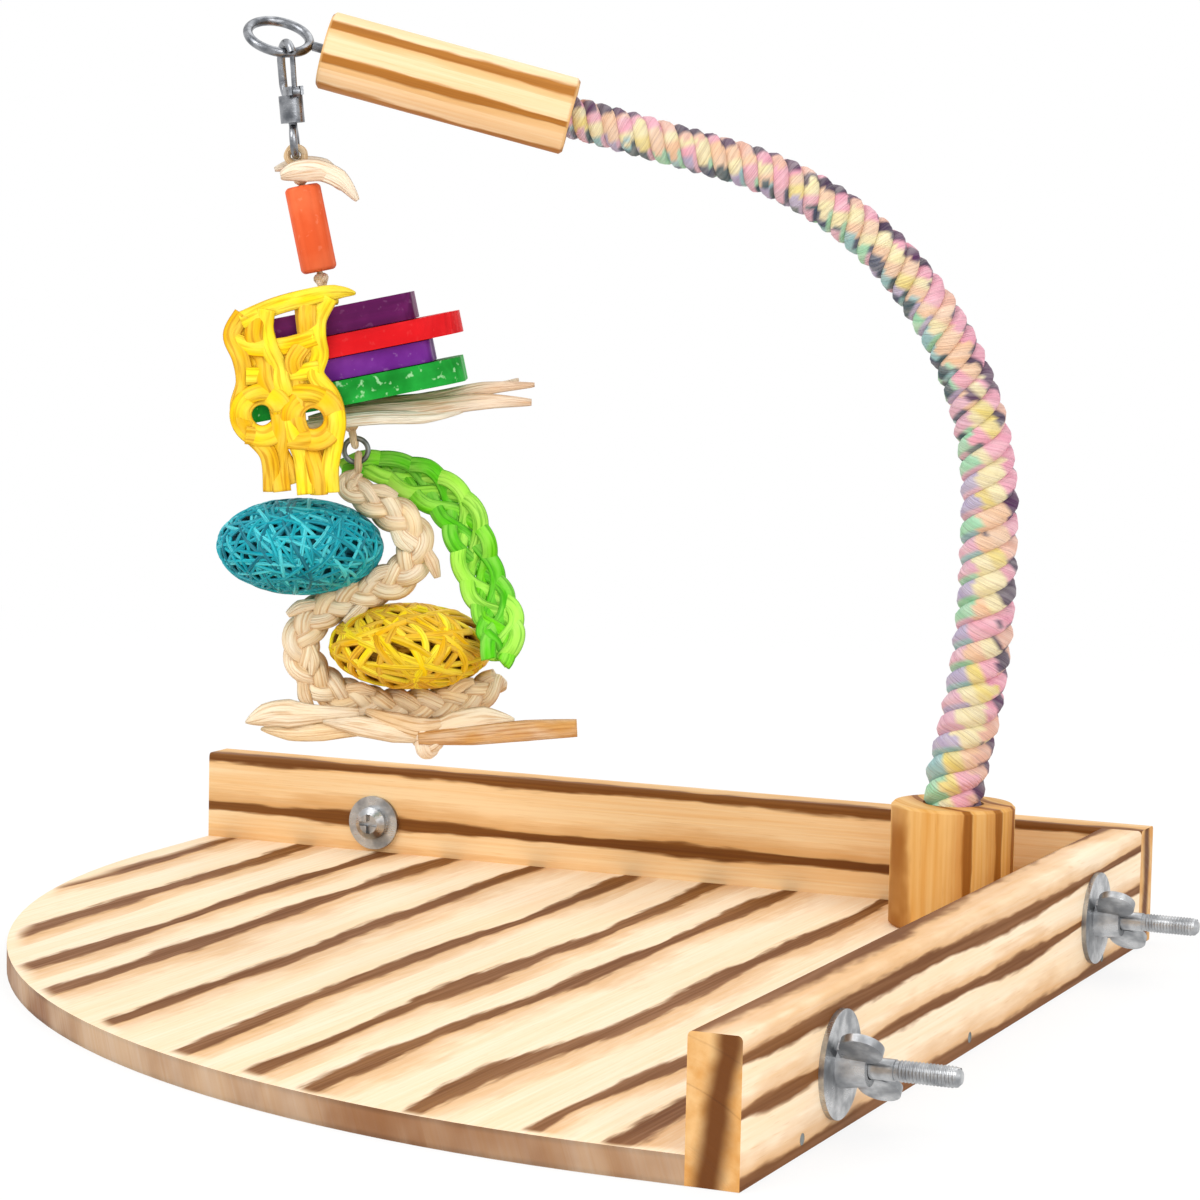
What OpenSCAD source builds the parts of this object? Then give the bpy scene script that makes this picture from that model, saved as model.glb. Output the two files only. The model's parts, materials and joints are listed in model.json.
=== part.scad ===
// Corner play stand for small cage birds: a scorched pine tray with two low walls,
// a bendable rope perch that arches up from a wooden block, and a chew toy on a snap hook.
// Millimetres, +Z up. The origin is on the underside, at the middle of the outer rectangle.

/* [Tray] */
// Outer width, side wall included
tray_w = 365; // [360:1:420]
// Outer depth, back wall included
tray_d = 390; // [385:1:440]
// Thickness of the floor board
tray_t = 8; // [6:0.5:10]
// Radius of the free front corner
corner_r = 330; // [200:5:335]
// Height of the two walls
wall_h = 40; // [38:1:50]
// Thickness of the two walls
wall_t = 15; // [13:0.5:18]
// Rounding of the walls' top edges
wall_round = 1.5; // [0.5:0.25:3]
// Diameter of the wire nails in the walls
nail_d = 1.6; // [1.2:0.1:2]
// Length of the wire nails
nail_l = 36; // [30:1:44]

/* [Perch block] */
// Diameter of the round block
block_d = 42; // [36:1:46]
// Height of the round block
block_h = 42; // [38:1:50]
// Gap between the block and the side wall
block_side_gap = 20.5; // [15:0.5:30]
// Gap between the block and the back wall
block_back_gap = 14; // [10:0.5:20]
// Diameter of the screw that holds the block
screw_d = 4; // [3:0.5:5]
// Length of the screw that holds the block
screw_l = 20; // [16:1:22]

/* [Rope perch] */
// Diameter of the rope at the block
rope_d = 20; // [17:0.5:22]
// Diameter of the rope at the dowel, drawn thinner by the arch
rope_tip_d = 14; // [12:0.5:17]
// Diameter of the bendable wire inside the rope
core_d = 5; // [3:0.5:6]
// Turn of the perch's plane from the back wall
perch_turn = 23.4; // [10:0.1:40]
// Depth of the rope's socket in the block
socket_l = 25; // [18:1:27]
// Lean of the rope away from the toy as it leaves the block
lean = 13; // [8:1:16]
// Radius of the short bend into the lean
lean_in_r = 60; // [40:1:80]
// Radius of the long bend out of the lean
lean_out_r = 300; // [260:5:340]
// Straight upright stretch below the arch
upright_l = 17; // [5:1:30]
// Radius of the arch
arch_r = 121; // [110:1:135]
// Angle that the arch turns through
arch_turn = 76; // [70:1:82]
// Straight rope between the arch and the dowel
rope_run = 53.5; // [45:0.5:65]
// Diameter of the dowel at the tip
dowel_d = 26; // [22:1:30]
// Length of the dowel at the tip
dowel_l = 85; // [75:1:95]
// Depth of the rope's socket in the dowel
dowel_socket_l = 18; // [12:1:25]

/* [Screw eye] */
// Outer diameter of the ring
eye_d = 24; // [22:0.5:27]
// Diameter of the ring's wire
eye_wire_d = 3.2; // [2.6:0.1:3.6]
// Bare neck between the dowel and the ring
eye_neck = 4; // [3:0.5:6]
// Length of the shank inside the dowel
eye_shank_l = 22; // [15:1:30]
// Roll of the ring about its shank
eye_roll = 60; // [50:1:65]

/* [Cage bolts] */
// Diameter of the bolts
bolt_d = 6; // [5:0.5:6.5]
// Diameter of the free threaded end, at the middle of its thread
bolt_end_d = 5.4; // [4.6:0.1:5.6]
// Length of bolt outside the wall
bolt_out = 35; // [34:1:45]
// Height of the bolts above the underside
bolt_z = 19; // [18.5:0.5:20]
// Distance of each bolt from the end of its wall
bolt_inset = 71; // [60:1:90]
// Diameter of the bolt heads
head_d = 12; // [10:0.5:14]
// Height of the bolt heads
head_h = 4; // [3.5:0.25:5]
// Diameter of the washers under the heads
inner_washer_d = 20; // [16:0.5:20.5]
// Diameter of the large outer washers
outer_washer_d = 30; // [26:1:34]
// Thickness of all washers
washer_t = 1.5; // [1:0.25:2]
// Diameter of the wing nuts' hubs
nut_hub_d = 13; // [11:0.5:14]
// Height of the wing nuts' hubs
nut_h = 8; // [6:0.5:9]
// Span over the two wings
wing_span = 33; // [30:1:36]
// Diameter of each wing's round lobe
wing_lobe_d = 12; // [10:0.5:12.5]
// Thickness of the wings
wing_t = 2.4; // [2:0.2:3]
// Turn of the wings about their bolt, upright at the side wall when 0
wing_turn = 50; // [0:5:90]

/* [Snap hook] */
// Radius of the claw, to the middle of its bar
claw_r = 6.5; // [6.2:0.1:7.5]
// Diameter of the claw's bar
claw_bar_d = 2.8; // [2.4:0.1:3.2]
// Straight length of the claw's back
claw_leg = 5.8; // [5.5:0.1:8]
// Diameter of the barrel
barrel_d = 8; // [7.6:0.1:9]
// Length of the barrel
barrel_l = 9; // [8.5:0.5:11]
// Diameter of the spring-wire gate
gate_d = 1.8; // [1.4:0.1:2]
// Diameter of the gate's pivot pin
gate_pin_d = 1.2; // [1:0.1:1.4]
// Diameter of the swivel's stem
stem_d = 2.8; // [2.4:0.1:3]
// Radius of the swivel's ring, to the middle of its wire
swivel_r = 4.6; // [4.4:0.1:5.5]
// Diameter of the swivel ring's wire
swivel_wire_d = 2.6; // [2:0.1:2.8]
// Lean of the hook from plumb
hook_lean = 6; // [0:1:8]

/* [Hanging toy] */
// Lean of the toy from plumb
toy_lean = 12.4; // [0:0.2:15]
// Diameter of the toy's cord
cord_d = 2.4; // [2:0.1:2.6]
// Diameter of the knot above the bead
top_knot_d = 7; // [6:0.5:9]
// Diameter of the wooden bead
bead_d = 12; // [11:0.5:15]
// Length of the wooden bead
bead_l = 29; // [24:1:34]
// Diameter of the knot below the bead
mid_knot_d = 5; // [4.5:0.5:6]
// Diameter of the knot below the chips
low_knot_d = 7; // [6:0.5:9]
// Radius of the link ring, to the middle of its wire
link_r = 4; // [3.8:0.1:5]
// Diameter of the link ring's wire
link_wire_d = 1.8; // [1.4:0.1:2]
// Thickness of the woven hanging
weave_t = 5; // [4:0.5:6]
// Width of the blue vine ball
blue_w = 55; // [50:1:56]
// Height of the blue vine ball
blue_h = 31; // [28:1:31]
// Width of the yellow vine ball
yellow_w = 58; // [52:1:58]
// Height of the yellow vine ball
yellow_h = 27; // [25:0.5:27]
// Diameter of the plaited husk rope
braid_d = 11.5; // [9:0.5:11.5]
// Width of the green woven arch
vine_w = 12.5; // [10:0.5:12.5]
// Thickness of the green woven arch
vine_t = 7; // [5:0.5:7]

/* [Hidden] */
$fn = 64;
// Running clearance between pieces that move, and between soft pieces that meet
gap = 0.3;
// Clearance of a fixed piece in its hole
fit = 0.1;
// Overlap that joins the shapes of one piece
lap = 0.2;

left_x = -tray_w / 2;
right_x = tray_w / 2;
front_y = -tray_d / 2;
back_y = tray_d / 2;
inner_x = right_x - wall_t;
inner_y = back_y - wall_t;
block_x = inner_x - block_side_gap - block_d / 2;
block_y = inner_y - block_back_gap - block_d / 2;
block_top = tray_t + block_h;

// Nails: places along each wall as shares of its length
nail_places = [0.12, 0.5, 0.88];
nail_head_d = 2 * nail_d;
nail_head_h = 1;
nail_z = tray_t / 2;
corner_nail_places = [0.25, 0.75];

// Bolts: [x, y] where each axis leaves the inner face of its wall
side_bolt_ys = [front_y + bolt_inset, back_y - bolt_inset];
back_bolt_x = left_x + bolt_inset;
bolt_hole_d = bolt_d + 2 * gap;
bolt_tip = 1;
thread_start = wall_t + washer_t + nut_h + wing_lobe_d / 2 + 1;

// Rope perch: each run is [length, 0] where straight, or [radius, turn], left positive
screw_head_d = 2 * screw_d;
screw_head_h = screw_d * 0.75;
perch_start = [0, block_top - socket_l, 0];
perch_runs = [
    [socket_l, 0],
    [lean_in_r, -lean],
    [lean_out_r, lean],
    [upright_l, 0],
    [arch_r, arch_turn],
    [rope_run + dowel_socket_l, 0]
];
arch_runs = len(perch_runs) - 1;

// Left-hand normal of a heading, measured from +Z towards -X
function left_of(a) = [-cos(a), -sin(a)];
// State [x, z, heading] after one run
function after(p, s) = s[1] == 0
    ? [p[0] - s[0] * sin(p[2]), p[1] + s[0] * cos(p[2]), p[2]]
    : let (d = sign(s[1]) * s[0] * (left_of(p[2]) - left_of(p[2] + s[1])))
      [p[0] + d[0], p[1] + d[1], p[2] + s[1]];
// State after the first n of a list of runs
function walk(p, runs, n) = n == 0 ? p : after(walk(p, runs, n - 1), runs[n - 1]);
// States along a list of runs, close enough together to follow its bends
bend_step = 5;
function run_steps(s) = s[1] == 0 ? 1 : ceil(abs(s[1]) / bend_step);
function part_of(s, f) = s[1] == 0 ? [s[0] * f, 0] : [s[0], s[1] * f];
function path_of(p, runs) = concat([p], [
    for (i = [0 : len(runs) - 1]) let (q = walk(p, runs, i), n = run_steps(runs[i]))
        for (k = [1 : n]) after(q, part_of(runs[i], k / n))
]);

dowel_start = after(walk(perch_start, perch_runs, arch_runs), [rope_run, 0]);
dowel_end = after(dowel_start, [dowel_l, 0]);
tip_a = dowel_end[2];

// Screw eye: directions in the perch's plane frame, and the lowest point of its ring
eye_r = (eye_d - eye_wire_d) / 2;
eye_reach = eye_neck + eye_wire_d / 2 + eye_r;
eye_shank_d = eye_wire_d;
eye_out = [-sin(tip_a), 0, cos(tip_a)];
eye_side = [-cos(eye_roll) * cos(tip_a), -sin(eye_roll), -cos(eye_roll) * sin(tip_a)];
eye_mid = [dowel_end[0], 0, dowel_end[1]] + eye_reach * eye_out;
eye_low_dir = -cos(tip_a) * eye_out + cos(eye_roll) * sin(tip_a) * eye_side;
hook_at = eye_mid + eye_r * eye_low_dir / norm(eye_low_dir);
ring_heading = atan2(cos(tip_a) * sin(eye_roll), cos(eye_roll));
hook_turn = ring_heading - 90;

// Snap hook: heights below the ring's wire
claw_mid_z = eye_wire_d / 2 + claw_bar_d / 2 + gap - claw_r;
claw_low_z = claw_mid_z - claw_leg;
claw_tip_a = 25;
claw_end_a = 300;
claw_start = [claw_r * cos(claw_tip_a), claw_mid_z + claw_r * sin(claw_tip_a), claw_tip_a];
claw_runs = [[claw_r, 180 - claw_tip_a], [claw_leg, 0], [claw_r, claw_end_a - 180]];
gate_at_a = -40;
gate_at = [claw_r * cos(gate_at_a), claw_low_z + claw_r * sin(gate_at_a)];
gate_tip = [
    claw_r * cos(claw_tip_a),
    claw_mid_z + claw_r * sin(claw_tip_a) - claw_bar_d / 2 * sin(claw_tip_a) - gap
];
gate_knuckle_d = 3.6;
gate_knuckle_w = 2.4;
cheek_t = 1;
cheek_w = gate_knuckle_w + 2 * (gap + cheek_t);
barrel_top = claw_low_z - claw_r + claw_bar_d / 2;
barrel_low = barrel_top - barrel_l;
stem_head_d = 4.6;
stem_head_h = 2;
stem_floor = 3;
swivel_mid_z = barrel_low - gap - swivel_r - swivel_wire_d / 2;
hook_l = swivel_r - swivel_mid_z;

// Toy: distances down the cord from the swivel's ring
cord_loop_r = swivel_wire_d / 2 + cord_d / 2 + gap;
cord_hole_d = cord_d + 2 * gap;
top_knot_s = cord_loop_r + top_knot_d / 2;
bead_s = top_knot_s + top_knot_d / 2 + gap;
mid_knot_s = bead_s + bead_l + gap + mid_knot_d / 2;
collar_l = 6.5;
collar_d = 9;
collar_s = mid_knot_s + mid_knot_d / 2 + gap;
chips_s = collar_s + collar_l + gap;
// Chips: [thickness, reach left, reach right, depth, corner radius, colour]
chips = [
    [8.8, 27, 29, 30, 3, "#5b1a66"],
    [7.2, 33, 43, 34, 14, "#e3232b"],
    [7.2, 30, 32, 30, 3, "#7a2191"],
    [8.2, 33, 41, 34, 7, "#149a3c"]
];
function chip_s(i) = i == 0 ? chips_s : chip_s(i - 1) + chips[i - 1][0] + gap;
chip_depth = max([for (c = chips) c[3]]);
tuft_s = chip_s(len(chips) - 1) + chips[len(chips) - 1][0] + gap;
tuft_t = 2;
tuft_l = 82;
tuft_w = 15;
tuft_out = 23;
low_knot_s = tuft_s + tuft_t + gap + low_knot_d / 2;
low_loop_r = link_wire_d / 2 + cord_d / 2 + gap;
braid_loop_r = low_loop_r + gap;
link_s = low_knot_s + low_knot_d / 2 + low_loop_r + link_r;
lower_s = link_s + link_r;

// Woven hanging: places [across, down] from the cord's top, and sizes
weave_y = -chip_depth / 2 - gap - weave_t / 2;
weave_lobes = [[-19.5, 57, 17], [-21, 81, 17.5]];
weave_waist = [-32, 56, 24, 26];
weave_legs = [[-27, 90, 8, 16, 8], [-14, 92, 8, 18, 4]];
weave_holes = [[-14.5, 53.5, 3.4], [-29, 79.5, 4], [-13, 83.5, 4]];
weave_strap = [-34, 44.4, 40, 6];

// Lower toy: routes [across, depth, height, share of the diameter] from the link's low wire
braid_route = [
    [0, 0, -3.2, 0.28],
    [-3, 0, -8, 0.65],
    [7, 0, -14, 0.95],
    [17, 0, -21, 1],
    [19.5, 0, -30, 1],
    [14, 0, -38.5, 1],
    [2, 0, -43.5, 1],
    [-11, 0, -50, 1],
    [-18.5, 0, -60, 1],
    [-16, 0, -70, 1],
    [-7, 0, -78, 1],
    [7, 0, -82, 1],
    [25, 0, -82, 1],
    [40, 0, -78, 0.9],
    [48, 0, -72, 0.7]
];
vine_route = [
    [-6, 6.9, -3, 0.5],
    [3, 6.9, -1, 0.9],
    [14, 8, -4, 1],
    [25, 6, -9, 1],
    [33.5, 3, -16, 1],
    [38, 0, -26, 1],
    [41, 0, -36, 1],
    [45, -5, -44, 1],
    [48.5, -13.5, -50.5, 1],
    [49.5, -21.8, -57, 1],
    [48, -25.6, -63, 0.7]
];
blue_at = [-20.5, -26.5];
yellow_at = [20, -61];
bow_y = -8;
bow_t = 3;
bow_knot_d = 12;
bow_knot_at = [25, -5, -93];
// Leaves of the bow: [across and height of the middle, length, width, tilt]
bow_leaves = [[-6, -88.5, 66, 11, 174], [50, -89.5, 52, 9, 5]];
route_steps = 3;
route_sides = 10;
bar_sides = 16;

// Point on a smooth curve through a list of points, between p[i] and p[i + 1]
function curve(p, i, t) = let (
    a = p[max(i - 1, 0)],
    b = p[i],
    c = p[i + 1],
    d = p[min(i + 2, len(p) - 1)]
) 0.5 * (2 * b + (c - a) * t + (2 * a - 5 * b + 4 * c - d) * t * t
    + (3 * b - a - 3 * c + d) * t * t * t);
function smooth(p) = concat(
    [for (i = [0 : len(p) - 2], k = [0 : route_steps - 1]) curve(p, i, k / route_steps)],
    [p[len(p) - 1]]
);
function xyz(q) = [q[0], q[1], q[2]];
function unit(v) = v / norm(v);
// Ring of points round one place on a route, across the route's own plane
function ring(q, i, w, t) = let (
    along = unit(xyz(q[min(i + 1, len(q) - 1)]) - xyz(q[max(i - 1, 0)])),
    across = unit(cross(along, [0, 1, 0])),
    deep = cross(along, across)
) [for (k = [0 : route_sides - 1]) let (a = 360 * k / route_sides)
    xyz(q[i]) + q[i][3] * (w / 2 * cos(a) * across + t / 2 * sin(a) * deep)];

// Two triangles between ring i and the next, and the two that close a bored end
function tube_faces(i, k, s) = let (
    a = i * s + k,
    b = i * s + (k + 1) % s
) [[a, b + s, b], [a, a + s, b + s]];
function end_faces(e, k, s, m, near) = let (
    a = e + k,
    b = e + (k + 1) % s
) near ? [[a, b, b + m], [a, b + m, a + m]] : [[a, b + m, b], [a, a + m, b + m]];

// Plain solid swept along a route, as wide and as thick as given
module swept(route, w, t) {
    q = smooth(route);
    n = len(q);
    s = route_sides;
    points = [for (i = [0 : n - 1]) each ring(q, i, w, t)];
    sides = [for (i = [0 : n - 2], k = [0 : s - 1]) each tube_faces(i, k, s)];
    first = [for (k = [1 : s - 2]) [0, k, k + 1]];
    last = [for (k = [1 : s - 2]) [(n - 1) * s, (n - 1) * s + k + 1, (n - 1) * s + k]];
    polyhedron(points, concat(sides, first, last));
}

// Ring of points round one state, with its sides spread evenly
function state_ring(p, d) = [for (k = [0 : bar_sides - 1]) let (
    a = 360 * k / bar_sides,
    side = d / 2 * cos(a) * left_of(p[2])
) [p[0] + side[0], -d / 2 * sin(a), p[1] + side[1]]];

// Diameter at state i of n, from the first straight stretch to the last
function drawn_d(i, n, d, tip_d) = d + (tip_d - d) * min(max((i - 1) / (n - 3), 0), 1);

// Round bar along a list of states, solid or with a bore, even or drawn thinner to its tip
module bent_bar(path, d, bore = 0, tip_d = 0) {
    n = len(path);
    s = bar_sides;
    last = (n - 1) * s;
    far_d = tip_d == 0 ? d : tip_d;
    outer = [for (i = [0 : n - 1]) each state_ring(path[i], drawn_d(i, n, d, far_d))];
    inner = [for (p = path) each state_ring(p, bore)];
    outer_faces = [for (i = [0 : n - 2], k = [0 : s - 1]) each tube_faces(i, k, s)];
    inner_faces = [for (f = outer_faces) [f[0], f[2], f[1]] + n * s * [1, 1, 1]];
    rims = [for (e = [0, last], k = [0 : s - 1]) each end_faces(e, k, s, n * s, e == 0)];
    caps = [for (e = [0, last], k = [1 : s - 2]) e == 0 ? [0, k, k + 1] : [e, e + k + 1, e + k]];
    if (bore == 0) polyhedron(outer, concat(outer_faces, caps));
    else polyhedron(concat(outer, inner), concat(outer_faces, inner_faces, rims));
}

// Ring of round wire in the XY plane
module wire_ring(r, d) {
    rotate_extrude() translate([r, 0]) circle(d = d);
}

// Rectangle with round corners, from its low corner
module soft_rect(w, h, r) {
    translate([r, 0]) square([w - 2 * r, h]);
    translate([0, r]) square([w, h - 2 * r]);
    for (x = [r, w - r], y = [r, h - r]) translate([x, y]) circle(r);
}

// Leaf outline, pointed at both ends
module leaf(l, w) {
    r = (l * l / 4 + w * w / 4) / w;
    intersection() {
        translate([0, r - w / 2]) circle(r, $fn = 128);
        translate([0, w / 2 - r]) circle(r, $fn = 128);
    }
}

// Cylinder with its two edges broken
module eased(d, h, e) {
    cylinder(d1 = d - 2 * e, d2 = d, h = e);
    translate([0, 0, e]) cylinder(d = d, h = h - 2 * e);
    translate([0, 0, h - e]) cylinder(d1 = d, d2 = d - 2 * e, h = e);
}

// Frames
module in_arch() {
    translate([block_x, block_y, 0]) rotate([0, 0, perch_turn]) children();
}

module at_state(p) {
    in_arch() translate([p[0], 0, p[1]]) rotate([0, -p[2], 0]) children();
}

module in_hook() {
    in_arch() translate(hook_at) rotate([0, -hook_lean, 0]) children();
}

module in_toy() {
    in_hook() translate([0, 0, -hook_l]) rotate([0, hook_lean - toy_lean, 0]) children();
}

module down_toy(s) {
    in_toy() translate([0, 0, -s]) children();
}

module in_lower() {
    down_toy(lower_s) rotate([0, toy_lean, 0]) children();
}

module at_side_bolt(i) {
    translate([inner_x, side_bolt_ys[i], bolt_z]) rotate([0, 90, 0]) children();
}

module at_back_bolt() {
    translate([back_bolt_x, inner_y, bolt_z]) rotate([-90, 0, 0]) children();
}

// Tray and walls
module wall_profile() {
    square([wall_t, wall_h - wall_round]);
    translate([wall_round, 0]) square([wall_t - 2 * wall_round, wall_h]);
    for (x = [wall_round, wall_t - wall_round]) {
        translate([x, wall_h - wall_round]) circle(wall_round);
    }
}

module nail(extra = 0) {
    cylinder(d = nail_d + 2 * extra, h = nail_l + extra);
    cylinder(d = nail_head_d + 2 * extra, h = nail_head_h + extra);
}

module all_nails(extra = 0) {
    side_l = tray_d - wall_t;
    for (k = nail_places) {
        translate([right_x, front_y + k * side_l, nail_z]) rotate([0, -90, 0]) nail(extra);
        translate([left_x + k * (tray_w - wall_t), back_y, nail_z])
            rotate([90, 0, 0]) nail(extra);
    }
    for (k = corner_nail_places) {
        translate([right_x - wall_t / 2, back_y, k * wall_h]) rotate([90, 0, 0]) nail(extra);
    }
}

module block_screw_shape(extra = 0) {
    cylinder(d1 = screw_head_d + 2 * extra, d2 = screw_d + 2 * extra, h = screw_head_h);
    cylinder(d = screw_d + 2 * extra, h = screw_l + extra);
}

module tray_board() {
    color("#f3d9ae") difference() {
        linear_extrude(tray_t) difference() {
            translate([left_x, front_y]) square([tray_w - wall_t, tray_d - wall_t]);
            difference() {
                translate([left_x - lap, front_y - lap]) square(corner_r + lap);
                translate([left_x + corner_r, front_y + corner_r]) circle(corner_r, $fn = 256);
            }
        }
        all_nails(fit);
        translate([block_x, block_y, 0]) block_screw_shape(fit);
    }
}

module back_wall() {
    color("#eecb97") difference() {
        translate([left_x, inner_y, 0]) rotate([90, 0, 90])
            linear_extrude(tray_w) wall_profile();
        all_nails(fit);
        at_back_bolt() translate([0, 0, -lap]) cylinder(d = bolt_hole_d, h = wall_t + 2 * lap);
    }
}

module side_wall() {
    color("#eecb97") difference() {
        translate([inner_x, inner_y, 0]) rotate([90, 0, 0])
            linear_extrude(tray_d - wall_t) wall_profile();
        all_nails(fit);
        for (i = [0, 1]) at_side_bolt(i) {
            translate([0, 0, -lap]) cylinder(d = bolt_hole_d, h = wall_t + 2 * lap);
        }
    }
}

module wall_nails() {
    color("#9a9a98") all_nails();
}

// Perch
module perch_block() {
    color("#d9a25a") difference() {
        translate([block_x, block_y, tray_t]) eased(block_d, block_h, 1);
        translate([block_x, block_y, block_top - socket_l]) {
            cylinder(d = rope_d + 2 * gap, h = socket_l + lap);
        }
        translate([block_x, block_y, 0]) block_screw_shape(fit);
    }
}

module block_screw() {
    color("#8f8f8d") translate([block_x, block_y, 0]) block_screw_shape();
}

module perch_core() {
    color("#8d8f92") in_arch() bent_bar(path_of(perch_start, perch_runs), core_d);
}

module rope_perch() {
    color("#e9cfd2") in_arch() {
        bent_bar(path_of(perch_start, perch_runs), rope_d, core_d + 2 * fit, rope_tip_d);
    }
}

module tip_dowel() {
    color("#efcf9d") difference() {
        at_state(dowel_start) eased(dowel_d, dowel_l, 1);
        at_state(dowel_start) translate([0, 0, -lap]) {
            cylinder(d = rope_tip_d + 2 * gap, h = dowel_socket_l + lap);
        }
        at_state(dowel_end) translate([0, 0, -eye_shank_l - fit]) {
            cylinder(d = eye_shank_d + 2 * fit, h = eye_shank_l + fit + lap);
        }
    }
}

module screw_eye() {
    color("#c9cacc") at_state(dowel_end) {
        translate([0, 0, -eye_shank_l]) cylinder(d = eye_shank_d, h = eye_shank_l + eye_neck + lap);
        rotate([0, 0, eye_roll]) translate([0, 0, eye_reach]) rotate([90, 0, 0])
            wire_ring(eye_r, eye_wire_d);
    }
}

// Cage bolts: the frame's +Z leaves the wall, with 0 at the inner face
module bolt() {
    slot_w = head_d * 0.13;
    slot_l = head_d * 0.6;
    slot_h = head_h * 0.5;
    color("#cfd0d2") difference() {
        union() {
            translate([0, 0, -washer_t - head_h]) {
                cylinder(d1 = head_d * 0.6, d2 = head_d, h = head_h * 0.45);
                translate([0, 0, head_h * 0.45]) cylinder(d = head_d, h = head_h * 0.55);
            }
            translate([0, 0, -washer_t - lap]) cylinder(d = bolt_d, h = thread_start + washer_t + lap);
            cylinder(d = bolt_end_d, h = wall_t + bolt_out - bolt_tip);
            translate([0, 0, wall_t + bolt_out - bolt_tip]) {
                cylinder(d1 = bolt_end_d, d2 = bolt_end_d - 2 * bolt_tip, h = bolt_tip);
            }
        }
        for (a = [0, 90]) rotate([0, 0, a]) translate([0, 0, -washer_t - head_h + slot_h / 2 - lap]) {
            cube([slot_l, slot_w, slot_h + 2 * lap], center = true);
        }
    }
}

module inner_washer() {
    color("#c4c6c9") translate([0, 0, -washer_t]) difference() {
        cylinder(d = inner_washer_d, h = washer_t);
        translate([0, 0, -lap]) cylinder(d = bolt_hole_d, h = washer_t + 2 * lap);
    }
}

module outer_washer() {
    color("#c4c6c9") translate([0, 0, wall_t]) difference() {
        cylinder(d = outer_washer_d, h = washer_t);
        translate([0, 0, -lap]) cylinder(d = bolt_hole_d, h = washer_t + 2 * lap);
    }
}

module wing_nut() {
    lobe_x = (wing_span - wing_lobe_d) / 2;
    color("#d3d4d6") translate([0, 0, wall_t + washer_t]) rotate([0, 0, wing_turn]) difference() {
        union() {
            cylinder(d1 = nut_hub_d, d2 = nut_hub_d * 0.8, h = nut_h);
            for (k = [-1, 1]) rotate([90, 0, 0]) translate([0, 0, -wing_t / 2])
                linear_extrude(wing_t) {
                    translate([k * lobe_x, nut_h]) circle(d = wing_lobe_d);
                    translate([min(0, k * lobe_x), nut_h * 0.15]) square([lobe_x, nut_h * 0.7]);
                }
        }
        translate([0, 0, -lap]) cylinder(d = bolt_hole_d, h = nut_h + 2 * lap);
    }
}

module front_bolt() at_side_bolt(0) bolt();
module rear_bolt() at_side_bolt(1) bolt();
module back_bolt() at_back_bolt() bolt();
module front_inner_washer() at_side_bolt(0) inner_washer();
module rear_inner_washer() at_side_bolt(1) inner_washer();
module back_inner_washer() at_back_bolt() inner_washer();
module front_washer() at_side_bolt(0) outer_washer();
module rear_washer() at_side_bolt(1) outer_washer();
module back_washer() at_back_bolt() outer_washer();
module front_wing_nut() at_side_bolt(0) wing_nut();
module rear_wing_nut() at_side_bolt(1) wing_nut();
module back_wing_nut() at_back_bolt() wing_nut();

// Snap hook: the frame's origin is the middle of the ring's wire
module hook_body() {
    color("#b9bbbe") in_hook() difference() {
        union() {
            rotate([0, 0, hook_turn]) {
                bent_bar(path_of(claw_start, claw_runs), claw_bar_d);
                translate([0, -cheek_w / 2, barrel_top - lap]) {
                    cube([
                        gate_at[0] + gate_knuckle_d / 2,
                        cheek_w,
                        gate_at[1] + gate_knuckle_d / 2 - barrel_top + lap
                    ]);
                }
            }
            translate([0, 0, barrel_low]) cylinder(d = barrel_d, h = barrel_l);
        }
        rotate([0, 0, hook_turn]) {
            translate([gate_at[0], 0, gate_at[1]]) rotate([90, 0, 0]) {
                cylinder(d = gate_pin_d + 2 * fit, h = cheek_w + 2 * lap, center = true);
            }
            translate([
                gate_at[0] - gate_knuckle_d / 2 - gap,
                -gate_knuckle_w / 2 - gap,
                gate_at[1] - gate_knuckle_d / 2 - gap
            ]) {
                cube([claw_r + gate_knuckle_d, gate_knuckle_w + 2 * gap, claw_r + gate_knuckle_d]);
            }
        }
        translate([0, 0, barrel_low - lap]) cylinder(d = stem_d + 2 * gap, h = stem_floor + 2 * lap);
        translate([0, 0, barrel_low + stem_floor]) {
            cylinder(d = stem_head_d + 2 * gap, h = stem_head_h + 2 * gap);
        }
    }
}

module hook_gate() {
    reach = gate_tip - gate_at;
    color("#d9dadc") in_hook() rotate([0, 0, hook_turn]) translate([gate_at[0], 0, gate_at[1]]) {
        difference() {
            union() {
                rotate([90, 0, 0]) cylinder(d = gate_knuckle_d, h = gate_knuckle_w, center = true);
                rotate([0, atan2(reach[0], reach[1]), 0]) {
                    cylinder(d = gate_d, h = norm(reach));
                }
            }
            rotate([90, 0, 0]) {
                cylinder(d = gate_pin_d + 2 * fit, h = gate_knuckle_w + 2 * lap, center = true);
            }
        }
    }
}

module gate_pin() {
    color("#8d8f92") in_hook() rotate([0, 0, hook_turn]) translate([gate_at[0], 0, gate_at[1]])
        rotate([90, 0, 0]) cylinder(d = gate_pin_d, h = cheek_w, center = true);
}

module swivel_eye() {
    color("#c9cacc") in_hook() {
        translate([0, 0, barrel_low + stem_floor + gap]) cylinder(d = stem_head_d, h = stem_head_h);
        translate([0, 0, swivel_mid_z + swivel_r]) {
            cylinder(d = stem_d, h = barrel_low + stem_floor + 2 * gap - swivel_mid_z - swivel_r);
        }
        translate([0, 0, swivel_mid_z]) rotate([0, 90, 0]) wire_ring(swivel_r, swivel_wire_d);
    }
}

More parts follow.
